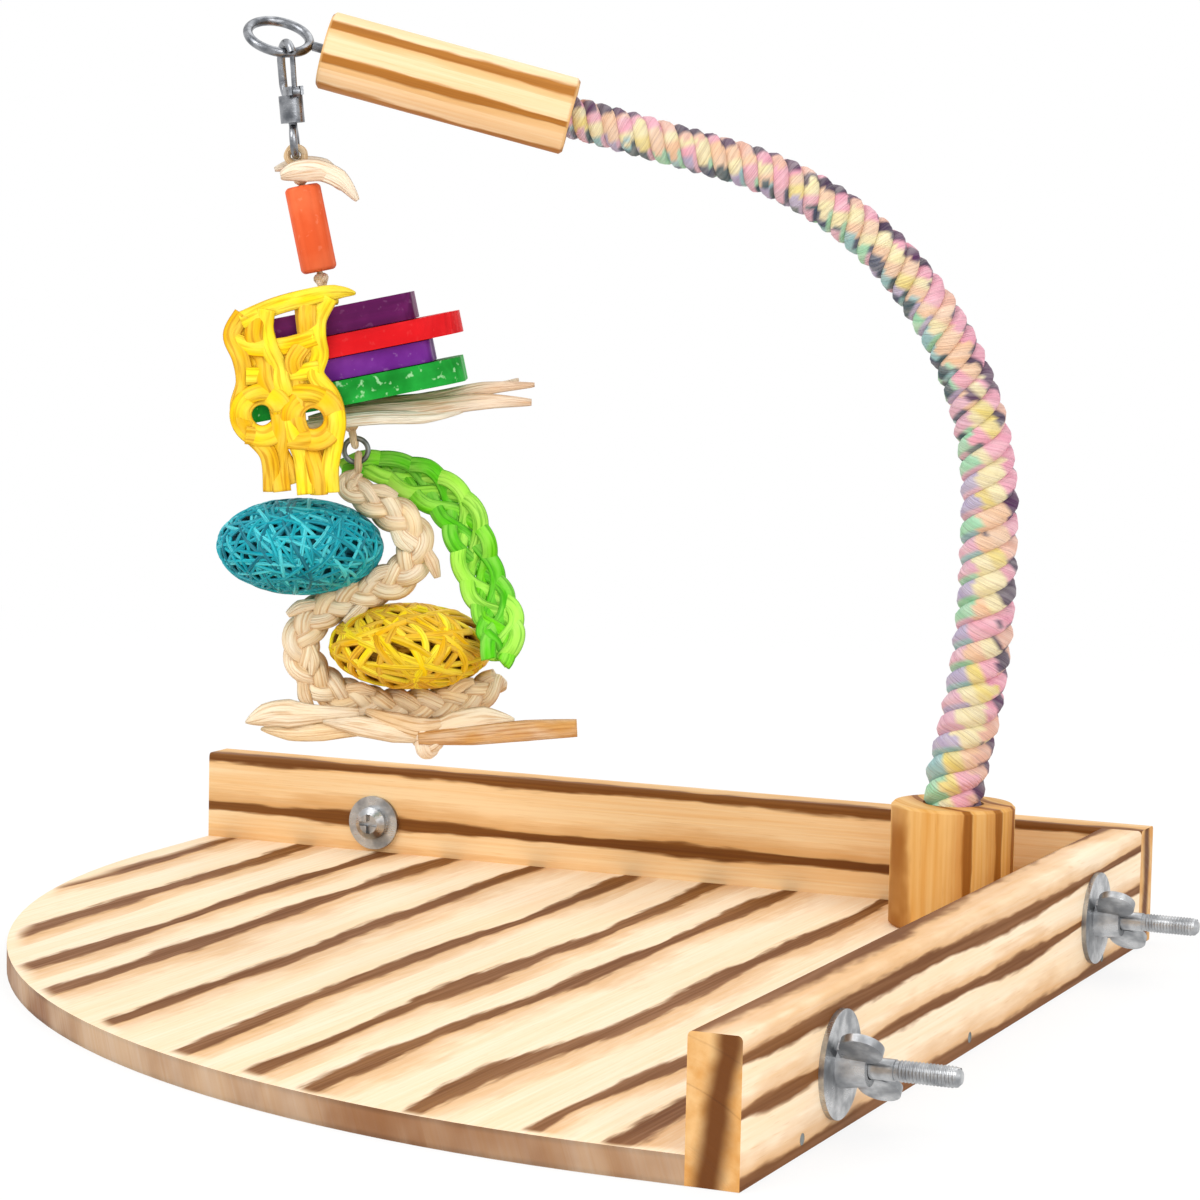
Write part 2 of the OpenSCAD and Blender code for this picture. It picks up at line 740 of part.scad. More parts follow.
// Toy on its cord
module toy_cord() {
    color("#ead9b8") {
        in_toy() rotate([90, 0, 0]) wire_ring(cord_loop_r, cord_d);
        down_toy(link_s - link_r - low_loop_r) {
            cylinder(d = cord_d, h = link_s - link_r - low_loop_r - cord_loop_r);
        }
        down_toy(top_knot_s) sphere(d = top_knot_d);
        down_toy(mid_knot_s) sphere(d = mid_knot_d);
        down_toy(low_knot_s) sphere(d = low_knot_d);
        down_toy(link_s - link_r) rotate([0, 90, 0]) wire_ring(low_loop_r, cord_d);
    }
}

module orange_bead() {
    color("#e4572a") down_toy(bead_s + bead_l) difference() {
        eased(bead_d, bead_l, 1);
        translate([0, 0, -lap]) cylinder(d = cord_hole_d, h = bead_l + 2 * lap);
    }
}

module weave_outline() {
    difference() {
        union() {
            for (p = weave_lobes) translate([p[0], -p[1]]) circle(p[2]);
            translate([weave_waist[0], -weave_waist[1] - weave_waist[3]])
                square([weave_waist[2], weave_waist[3]]);
            for (p = weave_legs) translate([p[0], -p[1]]) rotate(-p[4]) {
                translate([-p[2] / 2, -p[3]]) square([p[2], p[3]]);
                translate([0, -p[3]]) circle(d = p[2]);
            }
            translate([weave_strap[0], -weave_strap[1] - weave_strap[3]])
                square([weave_strap[2], weave_strap[3]]);
        }
        for (p = weave_holes) translate([p[0], -p[1]]) circle(p[2]);
    }
}

module yellow_weave() {
    color("#f6cf1c") in_toy() difference() {
        union() {
            translate([0, weave_y + weave_t / 2, 0]) rotate([90, 0, 0])
                linear_extrude(weave_t) weave_outline();
            translate([0, 0, -collar_s - collar_l]) cylinder(d = collar_d, h = collar_l);
            translate([-collar_d / 2, weave_y, -collar_s - collar_l]) {
                cube([collar_d, -weave_y, collar_l]);
            }
        }
        translate([0, 0, -collar_s - collar_l - lap]) cylinder(d = cord_hole_d, h = collar_l + 2 * lap);
    }
}

module chip(i) {
    c = chips[i];
    color(c[5]) down_toy(chip_s(i) + c[0]) difference() {
        translate([-c[1], -c[3] / 2, 0]) linear_extrude(c[0]) soft_rect(c[1] + c[2], c[3], c[4]);
        translate([0, 0, -lap]) cylinder(d = cord_hole_d, h = c[0] + 2 * lap);
    }
}

module upper_purple_chip() chip(0);
module red_chip() chip(1);
module lower_purple_chip() chip(2);
module green_chip() chip(3);

module husk_tuft() {
    color("#e9cfae") down_toy(tuft_s + tuft_t) difference() {
        translate([tuft_out, 0, 0]) linear_extrude(tuft_t) leaf(tuft_l, tuft_w);
        translate([0, 0, -lap]) cylinder(d = cord_hole_d, h = tuft_t + 2 * lap);
    }
}

module link_ring() {
    color("#8f9390") down_toy(link_s) rotate([90, 0, 0]) wire_ring(link_r, link_wire_d);
}

// Lower toy
module husk_braid() {
    color("#efd9b9") in_lower() {
        rotate([0, 90, 0]) wire_ring(braid_loop_r, cord_d);
        swept(braid_route, braid_d, braid_d);
    }
}

module green_vine() {
    color("#63d21a") in_lower() swept(vine_route, vine_w, vine_t);
}

module vine_ball(w, h) {
    steps = 24;
    half = [for (k = [0 : steps]) let (a = -90 + 180 * k / steps) [w / 2 * cos(a), h / 2 * sin(a)]];
    rotate_extrude() polygon(half);
}

module blue_ball() {
    color("#108d9c") in_lower() translate([blue_at[0], 0, blue_at[1]]) vine_ball(blue_w, blue_h);
}

module yellow_ball() {
    color("#f0bf14") in_lower() translate([yellow_at[0], 0, yellow_at[1]]) vine_ball(yellow_w, yellow_h);
}

module husk_bow() {
    color("#ecd2ab") in_lower() {
        translate(bow_knot_at) sphere(d = bow_knot_d);
        for (p = bow_leaves) translate([p[0], bow_y + bow_t / 2, p[1]]) rotate([90, 0, 0])
            rotate([0, 0, p[4]]) linear_extrude(bow_t) leaf(p[2], p[3]);
    }
}

tray_board();
back_wall();
side_wall();
wall_nails();
perch_block();
block_screw();
perch_core();
rope_perch();
tip_dowel();
screw_eye();
front_bolt();
rear_bolt();
back_bolt();
front_inner_washer();
rear_inner_washer();
back_inner_washer();
front_washer();
rear_washer();
back_washer();
front_wing_nut();
rear_wing_nut();
back_wing_nut();
hook_body();
hook_gate();
gate_pin();
swivel_eye();
toy_cord();
orange_bead();
yellow_weave();
upper_purple_chip();
red_chip();
lower_purple_chip();
green_chip();
husk_tuft();
link_ring();
husk_braid();
green_vine();
blue_ball();
yellow_ball();
husk_bow();
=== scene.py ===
import json
from math import cos, pi, radians, sin
import random

import bpy
from mathutils import Matrix, Vector


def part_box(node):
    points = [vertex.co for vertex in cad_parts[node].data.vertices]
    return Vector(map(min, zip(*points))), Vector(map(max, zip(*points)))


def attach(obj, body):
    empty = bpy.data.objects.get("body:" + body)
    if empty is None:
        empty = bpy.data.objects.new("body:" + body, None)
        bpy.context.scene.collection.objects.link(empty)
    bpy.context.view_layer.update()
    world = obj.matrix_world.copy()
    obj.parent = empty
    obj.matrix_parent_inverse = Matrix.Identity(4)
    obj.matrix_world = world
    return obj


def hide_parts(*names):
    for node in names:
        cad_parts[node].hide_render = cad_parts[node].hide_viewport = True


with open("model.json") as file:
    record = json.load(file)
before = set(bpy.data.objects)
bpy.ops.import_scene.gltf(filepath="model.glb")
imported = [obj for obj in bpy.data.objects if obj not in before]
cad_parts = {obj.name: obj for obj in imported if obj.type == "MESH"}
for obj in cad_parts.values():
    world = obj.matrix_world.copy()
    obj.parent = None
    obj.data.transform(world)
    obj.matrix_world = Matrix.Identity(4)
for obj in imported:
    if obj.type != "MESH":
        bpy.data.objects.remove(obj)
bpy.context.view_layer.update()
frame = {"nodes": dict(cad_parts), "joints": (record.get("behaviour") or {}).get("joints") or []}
joints = {j["name"]: j for j in frame["joints"]}
mm = 0.001
zAxis = Vector((0, 0, 1))
print("frame loaded:", len(frame["nodes"]), "nodes")

# directions and places of the hanging pieces, all read from the joints
perchAcross = Vector(joints["lower_swing"]["axis"]).normalized()
perchDeep = Vector(joints["toy_swing"]["axis"]).normalized()
toyUp = Vector(joints["bead_spin"]["axis"]).normalized()
toyAcross = perchDeep.cross(toyUp)
toyTop = Vector(joints["toy_swing"]["pos_m"])
lowerTop = Vector(joints["lower_swing"]["pos_m"])


def addObject(name, data):
    made = bpy.data.objects.new(name, data)
    bpy.context.scene.collection.objects.link(made)
    return made


# camera

camera = {
    "place": (0.51103, -1.04942, 0.23746), "azimuth": 23.42, "elevation": 5.527, "roll": 1.21,
    "lens": 111.4,
}


def addCamera(c):
    a, e, r = (radians(c[k]) for k in ("azimuth", "elevation", "roll"))
    back = Vector((sin(a) * cos(e), -cos(a) * cos(e), sin(e)))
    right = Vector((cos(a), sin(a), 0))
    up = back.cross(right)
    rolledRight = cos(r) * right + sin(r) * up
    rolledUp = cos(r) * up - sin(r) * right
    data = bpy.data.cameras.new("photoCamera")
    data.lens = c["lens"]
    data.sensor_width = 36
    data.clip_start = 0.05
    data.clip_end = 60
    cam = addObject("photoCamera", data)
    cam.matrix_world = Matrix((*zip(rolledRight, rolledUp, back, c["place"]), (0, 0, 0, 1)))
    bpy.context.scene.camera = cam


addCamera(camera)
print("camera placed")


# node helpers, which write to the tree opened last

opened = {}


def feed(node, values):
    for key, value in values.items():
        if isinstance(value, bpy.types.NodeSocket):
            opened["tree"].links.new(value, node.inputs[key])
        else:
            node.inputs[key].default_value = value


def addNode(kind, values=None, **settings):
    node = opened["tree"].nodes.new(kind)
    for key, value in settings.items():
        setattr(node, key, value)
    feed(node, values or {})
    return node


def calc(operation, *terms):
    return addNode("ShaderNodeMath", dict(enumerate(terms)), operation=operation).outputs[0]


def times(a, b):
    return calc("MULTIPLY", a, b)


def vecCalc(operation, *terms):
    node = addNode("ShaderNodeVectorMath", dict(enumerate(terms)), operation=operation)
    return node.outputs["Value" if operation in ("DOT_PRODUCT", "LENGTH") else "Vector"]


def joinXyz(x, y, z):
    return addNode("ShaderNodeCombineXYZ", {0: x, 1: y, 2: z}).outputs[0]


def splitXyz(vector):
    return addNode("ShaderNodeSeparateXYZ", {0: vector}).outputs


def objectPlace():
    return addNode("ShaderNodeTexCoord").outputs["Object"]


def noise(vector, scale=1.0, detail=2.0):
    values = {"Vector": vector, "Scale": scale, "Detail": detail, "Roughness": 0.5}
    return addNode("ShaderNodeTexNoise", values).outputs["Fac"]


def streaks(length, width, seed, along, across, detail=2.0):
    # noise with its own number of cells along and across
    return noise(joinXyz(times(length, along), times(width, across), seed), detail=detail)


def remap(value, low, high, toLow=0.0, toHigh=1.0):
    values = {"Value": value, "From Min": low, "From Max": high, "To Min": toLow, "To Max": toHigh}
    return addNode("ShaderNodeMapRange", values, interpolation_type="SMOOTHSTEP").outputs[0]


def hexColour(code):
    def linear(v):
        return v / 12.92 if v <= 0.04045 else ((v + 0.055) / 1.055) ** 2.4
    return tuple(linear(int(code[i:i + 2], 16) / 255) for i in (1, 3, 5)) + (1.0,)


def mix(share, a, b, blend="MIX"):
    # a and b are sockets or hex codes; 6, 7 and 2 are the node's colour sockets
    a, b = (hexColour(c) if isinstance(c, str) else c for c in (a, b))
    values = {0: share, 6: a, 7: b}
    return addNode("ShaderNodeMix", values, data_type="RGBA", blend_type=blend).outputs[2]


def newGroup(name, inputs, outputs, kind="Float"):
    tree = opened["tree"] = bpy.data.node_groups.new(name, "ShaderNodeTree")
    for socket in inputs:
        tree.interface.new_socket(socket, in_out="INPUT", socket_type="NodeSocket" + kind)
    for socket in outputs:
        tree.interface.new_socket(socket, in_out="OUTPUT", socket_type="NodeSocketFloat")
    return tree, addNode("NodeGroupInput").outputs, addNode("NodeGroupOutput")


def useGroup(group, values):
    return addNode("ShaderNodeGroup", values, node_tree=group).outputs


# shared effects

midNoise = (0.3, 0.7)
wideNoise = (0.25, 0.75)


def growthRingGroup():
    # distance from the heart line of the trunk, and distance along it
    tree, i, end = newGroup("growthRings", ("Heart", "Along"), ("Across", "Length"), "Vector")
    out = vecCalc("SUBTRACT", objectPlace(), i["Heart"])
    length = vecCalc("DOT_PRODUCT", out, i["Along"])
    lengthwise = addNode("ShaderNodeVectorMath", {0: i["Along"], 3: length}, operation="SCALE")
    flat = vecCalc("SUBTRACT", out, lengthwise.outputs["Vector"])
    feed(end, {"Across": vecCalc("LENGTH", flat), "Length": length})
    return tree


def scorchGroup():
    # dark late-wood stripes with wandering edges, and the warm glow beside them
    core, earlyFall, lateFall, glowReach = 0.5, 0.45, 1.6, 1.7
    inputs = ("Across", "Length", "Period", "Width", "Wander", "Seed")
    tree, i, end = newGroup("scorchStripes", inputs, ("Stripe", "Glow"))
    length, across, seed = i["Length"], i["Across"], i["Seed"]
    drift = calc("SUBTRACT", streaks(length, across, seed, along=5.0, across=9.0), 0.5)
    shifted = calc("ADD", across, times(drift, i["Wander"]))
    shifted = calc("DIVIDE", shifted, i["Period"])
    ring = calc("FLOOR", shifted)
    values = {"Vector": joinXyz(ring, seed, 0.0)}
    dice = addNode("ShaderNodeTexWhiteNoise", values, noise_dimensions="3D")
    centre = remap(dice.outputs["Value"], 0.0, 1.0, toLow=0.34, toHigh=0.66)
    swell = streaks(length, ring, seed, along=11.0, across=7.3, detail=3.0)
    ragged = streaks(length, across, seed, along=60.0, across=500.0)
    wide = calc("DIVIDE", i["Width"], i["Period"])
    wide = times(wide, remap(swell, *wideNoise, toLow=0.35, toHigh=1.35))
    wide = times(wide, remap(ragged, low=0.2, high=0.8, toLow=0.75, toHigh=1.25))
    offset = calc("SUBTRACT", calc("FRACT", shifted), centre)
    stripe = remap(calc("ABSOLUTE", offset), wide, times(wide, core))
    early = times(calc("MAXIMUM", offset, 0.0), earlyFall)
    late = times(calc("MAXIMUM", times(offset, -1.0), 0.0), lateFall)
    glow = remap(calc("ADD", early, late), times(wide, glowReach), 0.0)
    feed(end, {"Stripe": stripe, "Glow": glow})
    return tree


def grainGroup():
    # fine streaks along the length and short dark pores
    tree, i, end = newGroup("fineGrain", ("Across", "Length", "Seed"), ("Grain", "Pores"))
    spot = i["Length"], i["Across"], i["Seed"]
    fine = streaks(*spot, along=14.0, across=900.0, detail=3.0)
    broad = streaks(*spot, along=5.0, across=130.0, detail=3.0)
    pores = streaks(*spot, along=90.0, across=2200.0, detail=1.0)
    grain = remap(calc("ADD", times(fine, 0.5), times(broad, 0.5)), *midNoise)
    feed(end, {"Grain": grain, "Pores": remap(pores, low=0.62, high=0.75)})
    return tree


def fibreGroup():
    # streaks that follow a strand, read from the strand's own lengths
    tree, i, end = newGroup("fibreStreaks", ("Count", "Slant", "Seed"), ("Streak", "Patch"))
    strand = addNode("ShaderNodeAttribute", attribute_name="fibre").outputs["Vector"]
    run, around, number = splitXyz(strand)
    turned = calc("ADD", around, times(run, i["Slant"]))
    spot = run, turned, calc("ADD", number, i["Seed"])
    streak = streaks(*spot, along=60.0, across=i["Count"], detail=3.0)
    patch = streaks(*spot, along=70.0, across=2.0)
    feed(end, {"Streak": remap(streak, *wideNoise), "Patch": remap(patch, *midNoise)})
    return tree


def scuffGroup():
    # cloudy plating and fine scratches
    scratchCells = (300.0, 300.0, 6000.0)
    tree, i, end = newGroup("platingScuff", ("Scale", "Seed"), ("Cloud", "Scratch"))
    shifted = vecCalc("ADD", objectPlace(), joinXyz(i["Seed"], 0.0, 0.0))
    cloud = remap(noise(shifted, i["Scale"], detail=4.0), *midNoise)
    scratch = noise(vecCalc("MULTIPLY", shifted, scratchCells))
    feed(end, {"Cloud": cloud, "Scratch": remap(scratch, low=0.45, high=0.75)})
    return tree


growthRings = growthRingGroup()
scorchStripes = scorchGroup()
fineGrain = grainGroup()
fibreStreaks = fibreGroup()
platingScuff = scuffGroup()
print("shared effects ready")


# materials

def newMaterial(name, fixed):
    material = bpy.data.materials.new(name)
    material.use_nodes = True
    opened["tree"] = material.node_tree
    shader = material.node_tree.nodes["Principled BSDF"]
    feed(shader, fixed)
    return material, shader


def setSurface(shader, colour, rough, height, relief, strength):
    bump = addNode("ShaderNodeBump", {"Height": height, "Distance": relief, "Strength": strength})
    feed(shader, {"Base Color": colour, "Roughness": rough, "Normal": bump.outputs[0]})


def woodLines(w):
    # where a point lies in the trunk, and the grain there
    rings = useGroup(growthRings, {"Heart": w["heart"], "Along": w["along"]})
    lines = {"Across": rings["Across"], "Length": rings["Length"], "Seed": w["seed"]}
    return lines, useGroup(fineGrain, lines)


def darkRim(w, place, normal, colour):
    # sawn edges that face sideways are darker, darkest along their top and bottom corners
    side = remap(calc("ABSOLUTE", splitXyz(normal)[2]), low=0.7, high=0.3)
    patches = remap(noise(place, scale=16.0, detail=4.0), low=0.35, high=0.62, toLow=0.6)
    corner = calc("ABSOLUTE", calc("SUBTRACT", splitXyz(place)[2], w["rimMiddle"]))
    darkenedRim = mix(remap(corner, low=0.0022, high=0.0036), w["rim"], w["deep"])
    return mix(times(times(side, patches), w["rimShare"]), colour, darkenedRim)


def sawEnds(w, place, normal, colour):
    # end grain: one dark late ring stands between paler ones
    wobbleReach, core = 0.005, 0.2
    facing = calc("ABSOLUTE", vecCalc("DOT_PRODUCT", normal, w["along"]))
    wobble = times(calc("SUBTRACT", noise(place, scale=70.0), 0.5), wobbleReach)
    offset = calc("SUBTRACT", vecCalc("DOT_PRODUCT", place, w["ends"]), w["endAt"])
    away = calc("ABSOLUTE", calc("ADD", offset, wobble))
    dark = remap(away, w["endWide"], core * w["endWide"])
    cut = mix(remap(noise(place, scale=140.0, detail=4.0), *midNoise), w["sawn"], w["glow"])
    return mix(remap(facing, low=0.6, high=0.8), colour, mix(dark, cut, w["deep"]))


def scorchedWood(name, w):
    material, shader = newMaterial(name, {"Specular IOR Level": 0.18})
    place = objectPlace()
    normal = addNode("ShaderNodeNewGeometry").outputs["Normal"]
    lines, grain = woodLines(w)
    stripes = {key: w[key.lower()] for key in ("Period", "Width", "Wander")}
    scorch = useGroup(scorchStripes, {**stripes, **lines})
    stripe, warmth = scorch["Stripe"], scorch["Glow"]
    if "fade" in w:
        # the stripes die away just short of the sawn round edge
        edge = useGroup(growthRings, {"Heart": w["fade"], "Along": zAxis})["Across"]
        uneven = times(noise(place, scale=25.0, detail=1.0), w["fadeUneven"])
        keep = remap(calc("ADD", edge, uneven), w["fadeOut"], w["fadeIn"])
        stripe, warmth = times(stripe, keep), times(warmth, keep)
    colour = mix(grain["Grain"], w["pale"], w["warm"])
    colour = mix(times(grain["Pores"], w["poreShare"]), colour, w["glow"])
    colour = mix(times(warmth, w["glowShare"]), colour, w["glow"])
    colour = mix(stripe, colour, mix(grain["Grain"], w["burnt"], w["deep"]))
    if "rim" in w:
        colour = darkRim(w, place, normal, colour)
    if "ends" in w:
        colour = sawEnds(w, place, normal, colour)
    rough = remap(grain["Grain"], 0.0, 1.0, toLow=0.5, toHigh=0.68)
    height = calc("ADD", times(grain["Grain"], w["grainRise"]), stripe)
    setSurface(shader, colour, rough, height, relief=0.0003, strength=0.7)
    return material


def dyedWood(name, w):
    material, shader = newMaterial(name, {"Specular IOR Level": 0.12})
    grain = woodLines(w)[1]["Grain"]
    place = objectPlace()
    cloud = remap(noise(place, scale=70.0, detail=4.0), low=0.35, high=0.7)
    fleck = remap(noise(place, scale=420.0), low=0.62, high=0.72)
    colour = mix(grain, w["dye"], w["dark"])
    colour = mix(times(cloud, w["cloud"]), colour, w["light"])
    colour = mix(times(fleck, w["fleck"]), colour, w["bare"])
    rough = remap(grain, 0.0, 1.0, toLow=0.42, toHigh=0.62)
    setSurface(shader, colour, rough, grain, relief=0.0003, strength=0.6)
    return material


def fibreStuff(name, w):
    # each strand brings its own tint, and the streaks darken and lighten it
    roughSpan = 0.12
    fixed = {"Sheen Weight": w["sheen"], "Specular IOR Level": w["gloss"]}
    material, shader = newMaterial(name, fixed)
    fibre = useGroup(fibreStreaks, {key: w[key.lower()] for key in ("Count", "Slant", "Seed")})
    streak = fibre["Streak"]
    tint = addNode("ShaderNodeAttribute", attribute_name="tint").outputs["Color"]
    dark = mix(1.0, tint, w["shade"], "MULTIPLY")
    light = mix(times(fibre["Patch"], w["lift"]), tint, w["light"])
    colour = mix(remap(streak, low=0.55, high=0.0, toHigh=w["contrast"]), light, dark)
    rough = remap(streak, 0.0, 1.0, w["rough"] + roughSpan, w["rough"])
    setSurface(shader, colour, rough, streak, w["relief"], strength=0.8)
    return material


def platedMetal(name, light, dark, scale, rough, seed):
    cloudRough, scratchRough = 0.14, 0.12
    material, shader = newMaterial(name, {"Metallic": 1.0})
    scuff = useGroup(platingScuff, {"Scale": scale, "Seed": seed})
    colour = mix(scuff["Cloud"], light, dark)
    clouded = remap(scuff["Cloud"], 0.0, 1.0, rough, rough + cloudRough)
    rough = calc("ADD", clouded, times(scuff["Scratch"], scratchRough))
    setSurface(shader, colour, rough, scuff["Scratch"], relief=0.00004, strength=0.5)
    return material


def dress(node, material):
    mesh = frame["nodes"][node].data
    mesh.materials.clear()
    mesh.materials.append(material)


def easeEdges(node, width):
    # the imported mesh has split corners, so they are welded before the bevel
    piece = frame["nodes"][node]
    weld = piece.modifiers.new("weldCorners", "WELD")
    weld.merge_threshold = 0.00001
    bevel = piece.modifiers.new("easedEdges", "BEVEL")
    bevel.width = width
    bevel.segments = 2
    bevel.limit_method = "ANGLE"
    bevel.angle_limit = radians(38)


# mesh helpers

def fullTurn(count):
    return [2 * pi * k / count for k in range(count)]


def headings(points, closed=False):
    # direction of travel at each point
    count = len(points)
    out = []
    for k in range(count):
        before = points[k - 1] if closed or k else points[0]
        after = points[(k + 1) % count] if closed or k < count - 1 else points[k]
        out.append((after - before).normalized())
    return out


def pathFrames(points, hint, closed=False):
    # tangent and two cross directions at each point, carried along without twist
    frames, side = [], hint.normalized()
    for along in headings(points, closed):
        side = (side - side.dot(along) * along).normalized()
        frames.append((along, side, along.cross(side)))
    return frames


def lengths(points):
    total, out = 0.0, [0.0]
    for a, b in zip(points, points[1:]):
        total += (b - a).length
        out.append(total)
    return out


def tableValue(table, share):
    # straight lines between [share, value] rows
    for (a, low), (b, high) in zip(table, table[1:]):
        if share <= b:
            return low + (high - low) * (share - a) / (b - a)
    return table[-1][1]


def newBag():
    return {"verts": [], "faces": [], "fibre": [], "tint": []}


def addTube(bag, points, section, hint=perchDeep, closed=False, strand=0, tint=(1, 1, 1, 1),
            fixed=None):
    # section is one ring of offsets, or section(k, share) for point k
    # tint is one colour, or tint(k, share, turn)
    # fixed is the outward direction, one or one a point; hint serves without it
    count = len(points)
    frames = pathFrames(points, hint, closed)
    runs = lengths(points)
    base = len(bag["verts"])
    for k, point in enumerate(points):
        along, side, deep = frames[k]
        if fixed is not None:
            out = fixed[k] if isinstance(fixed, list) else fixed
            deep = (out - out.dot(along) * along).normalized()
            side = deep.cross(along)
        share = k / max(count - 1, 1)
        ring = section(k, share) if callable(section) else section
        sides = len(ring)
        for n, (u, v) in enumerate(ring):
            bag["verts"].append(point + u * side + v * deep)
            bag["fibre"].append((runs[k], abs(2 * n / sides - 1), strand))
            bag["tint"].append(tint(k, share, n / sides) if callable(tint) else tint)
    for k in range(count if closed else count - 1):
        a, b = base + k * sides, base + (k + 1) % count * sides
        for n in range(sides):
            m = (n + 1) % sides
            bag["faces"].append((a + n, a + m, b + m, b + n))
    if not closed:
        bag["faces"].append(tuple(base + n for n in reversed(range(sides))))
        bag["faces"].append(tuple(base + (count - 1) * sides + n for n in range(sides)))


def makePiece(name, bag, material, body, stands=()):
    mesh = bpy.data.meshes.new(name)
    mesh.from_pydata([tuple(v) for v in bag["verts"]], [], bag["faces"])
    fibre = mesh.attributes.new("fibre", "FLOAT_VECTOR", "POINT")
    fibre.data.foreach_set("vector", [x for f in bag["fibre"] for x in f])
    tint = mesh.attributes.new("tint", "FLOAT_COLOR", "POINT")
    tint.data.foreach_set("color", [x for t in bag["tint"] for x in t])
    mesh.polygons.foreach_set("use_smooth", [True] * len(mesh.polygons))
    mesh.materials.append(material)
    mesh.update()
    piece = addObject(name, mesh)
    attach(piece, body)
    if stands:
        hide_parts(*stands)
    return piece


def oval(wide, thick, sides, yarns=0, turn=0.0, relief=0.0):
    # with yarns it has shallow ridges, one for each yarn
    step = 2 * pi / sides
    out = []
    for n in range(sides):
        swell = 1 + relief * cos(yarns * (n * step) + turn)
        out.append((wide / 2 * swell * cos(n * step), thick / 2 * swell * sin(n * step)))
    return out


def splinePoints(route, steps):
    # smooth curve through given points
    out = []
    for k in range(len(route) - 1):
        a, b = route[max(k - 1, 0)], route[k]
        c, d = route[k + 1], route[min(k + 2, len(route) - 1)]
        for n in range(steps):
            t = n / steps
            out.append(0.5 * (2 * b + (c - a) * t + (2 * a - 5 * b + 4 * c - d) * t * t
                              + (3 * b - a - 3 * c + d) * t ** 3))
    out.append(route[-1].copy())
    return out


def pickTint(rng, codes, spread=0.08):
    base = hexColour(rng.choice(codes))
    factor = 1 + rng.uniform(-spread, spread)
    return tuple(min(1.0, c * factor) for c in base[:3]) + (1.0,)


def flankShadeTint(base, tone, depth):
    # painted shade: darker along both flanks, where a strip dips under its neighbour
    def tint(k, share, turn):
        flank = depth * abs(cos(2 * pi * turn)) ** 4
        return tuple(c * (1 - flank * t) for c, t in zip(base, tone)) + (1.0,)
    return tint


def inToy(across, down, deep=0.0):
    return toyTop + mm * (across * toyAcross - down * toyUp + deep * perchDeep)


def inLower(across, deep, height):
    return lowerTop + mm * (across * perchAcross + deep * perchDeep + height * zAxis)


# tray, walls, block and dowel keep their solids and get wood

pine = {
    "pale": "#fbe6c9", "warm": "#f5d6ae", "glow": "#d0954f", "glowShare": 0.75, "poreShare": 0.22,
    "burnt": "#87541f", "deep": "#693b14", "sawn": "#e2b67c", "grainRise": 0.35,
}
trayWood = {
    **pine, "heart": (-0.9, 0.0, -0.35), "along": (0.0, 1.0, 0.0), "seed": 3.0,
    "period": 0.0305, "width": 0.0052, "wander": 0.020,
    "rim": "#84532c", "rimShare": 0.95, "rimMiddle": 0.004,
    "fade": (0.1475, 0.135, 0.0), "fadeOut": 0.338, "fadeIn": 0.332, "fadeUneven": 0.018,
}
backWood = {
    **pine, "pale": "#f8d9aa", "warm": "#efc186",
    "heart": (0.0, 0.150, -0.0477), "along": (1.0, 0.0, 0.0), "seed": 8.0,
    "period": 0.0165, "width": 0.0029, "wander": 0.005,
    "ends": (0.0, 1.0, 0.0), "endAt": 0.1875, "endWide": 0.0055,
}
sideWood = {
    **pine, "heart": (0.150, 0.0, -0.025), "along": (0.0, 1.0, 0.0), "seed": 14.0,
    "period": 0.0125, "width": 0.0024, "wander": 0.007,
    "ends": (1.0, 0.0, -0.11), "endAt": 0.1742, "endWide": 0.0064,
}
blockLow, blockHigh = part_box("perch_block")
blockAt = (blockLow + blockHigh) / 2
blockWood = {
    **pine, "pale": "#e9bd79", "warm": "#d79a49", "glow": "#bf7d36",
    "burnt": "#a4661f", "deep": "#854c14",
    "heart": blockAt + Vector((0.03, 0.03, 0)), "along": (0.0, 0.0, 1.0), "seed": 5.0,
    "period": 0.0115, "width": 0.0026, "wander": 0.004,
}
woods = {
    "tray_board": trayWood, "back_wall": backWood, "side_wall": sideWood, "perch_block": blockWood,
}
boardEdge, dowelEdge = 0.0007, 0.0006
for node, wood in woods.items():
    dress(node, scorchedWood(node + "_wood", wood))
    easeEdges(node, boardEdge)
print("tray, walls and block dressed")


# perch: the bent path is walked as it is built, run by run

perch = {
    "blockTop": 50.0, "socket": 25.0, "lean": 13.0, "leanInRadius": 60.0, "leanOutRadius": 300.0,
    "upright": 17.0, "archRadius": 121.0, "archTurn": 76.0, "run": 53.5, "inDowel": 18.0,
    "step": 0.6,
}


def perchPath(p):
    # points of the rope's middle, and the heading at its end in degrees from upright
    across, height, heading = 0.0, p["blockTop"] - p["socket"], 0.0
    runs = [
        (p["socket"], 0), (p["leanInRadius"], -p["lean"]), (p["leanOutRadius"], p["lean"]),
        (p["upright"], 0), (p["archRadius"], p["archTurn"]), (p["run"] + p["inDowel"], 0),
    ]
    out = []
    for size, turn in runs:
        arc = size if turn == 0 else size * radians(abs(turn))
        steps = max(1, round(arc / p["step"]))
        for n in range(steps):
            out.append((across, height))
            middle = radians(heading + turn * (n + 0.5) / steps)
            across -= arc / steps * sin(middle)
            height += arc / steps * cos(middle)
        heading += turn
    out.append((across, height))
    foot = Vector((blockAt.x, blockAt.y, 0))
    return [foot + mm * (a * perchAcross + h * zAxis) for a, h in out], heading


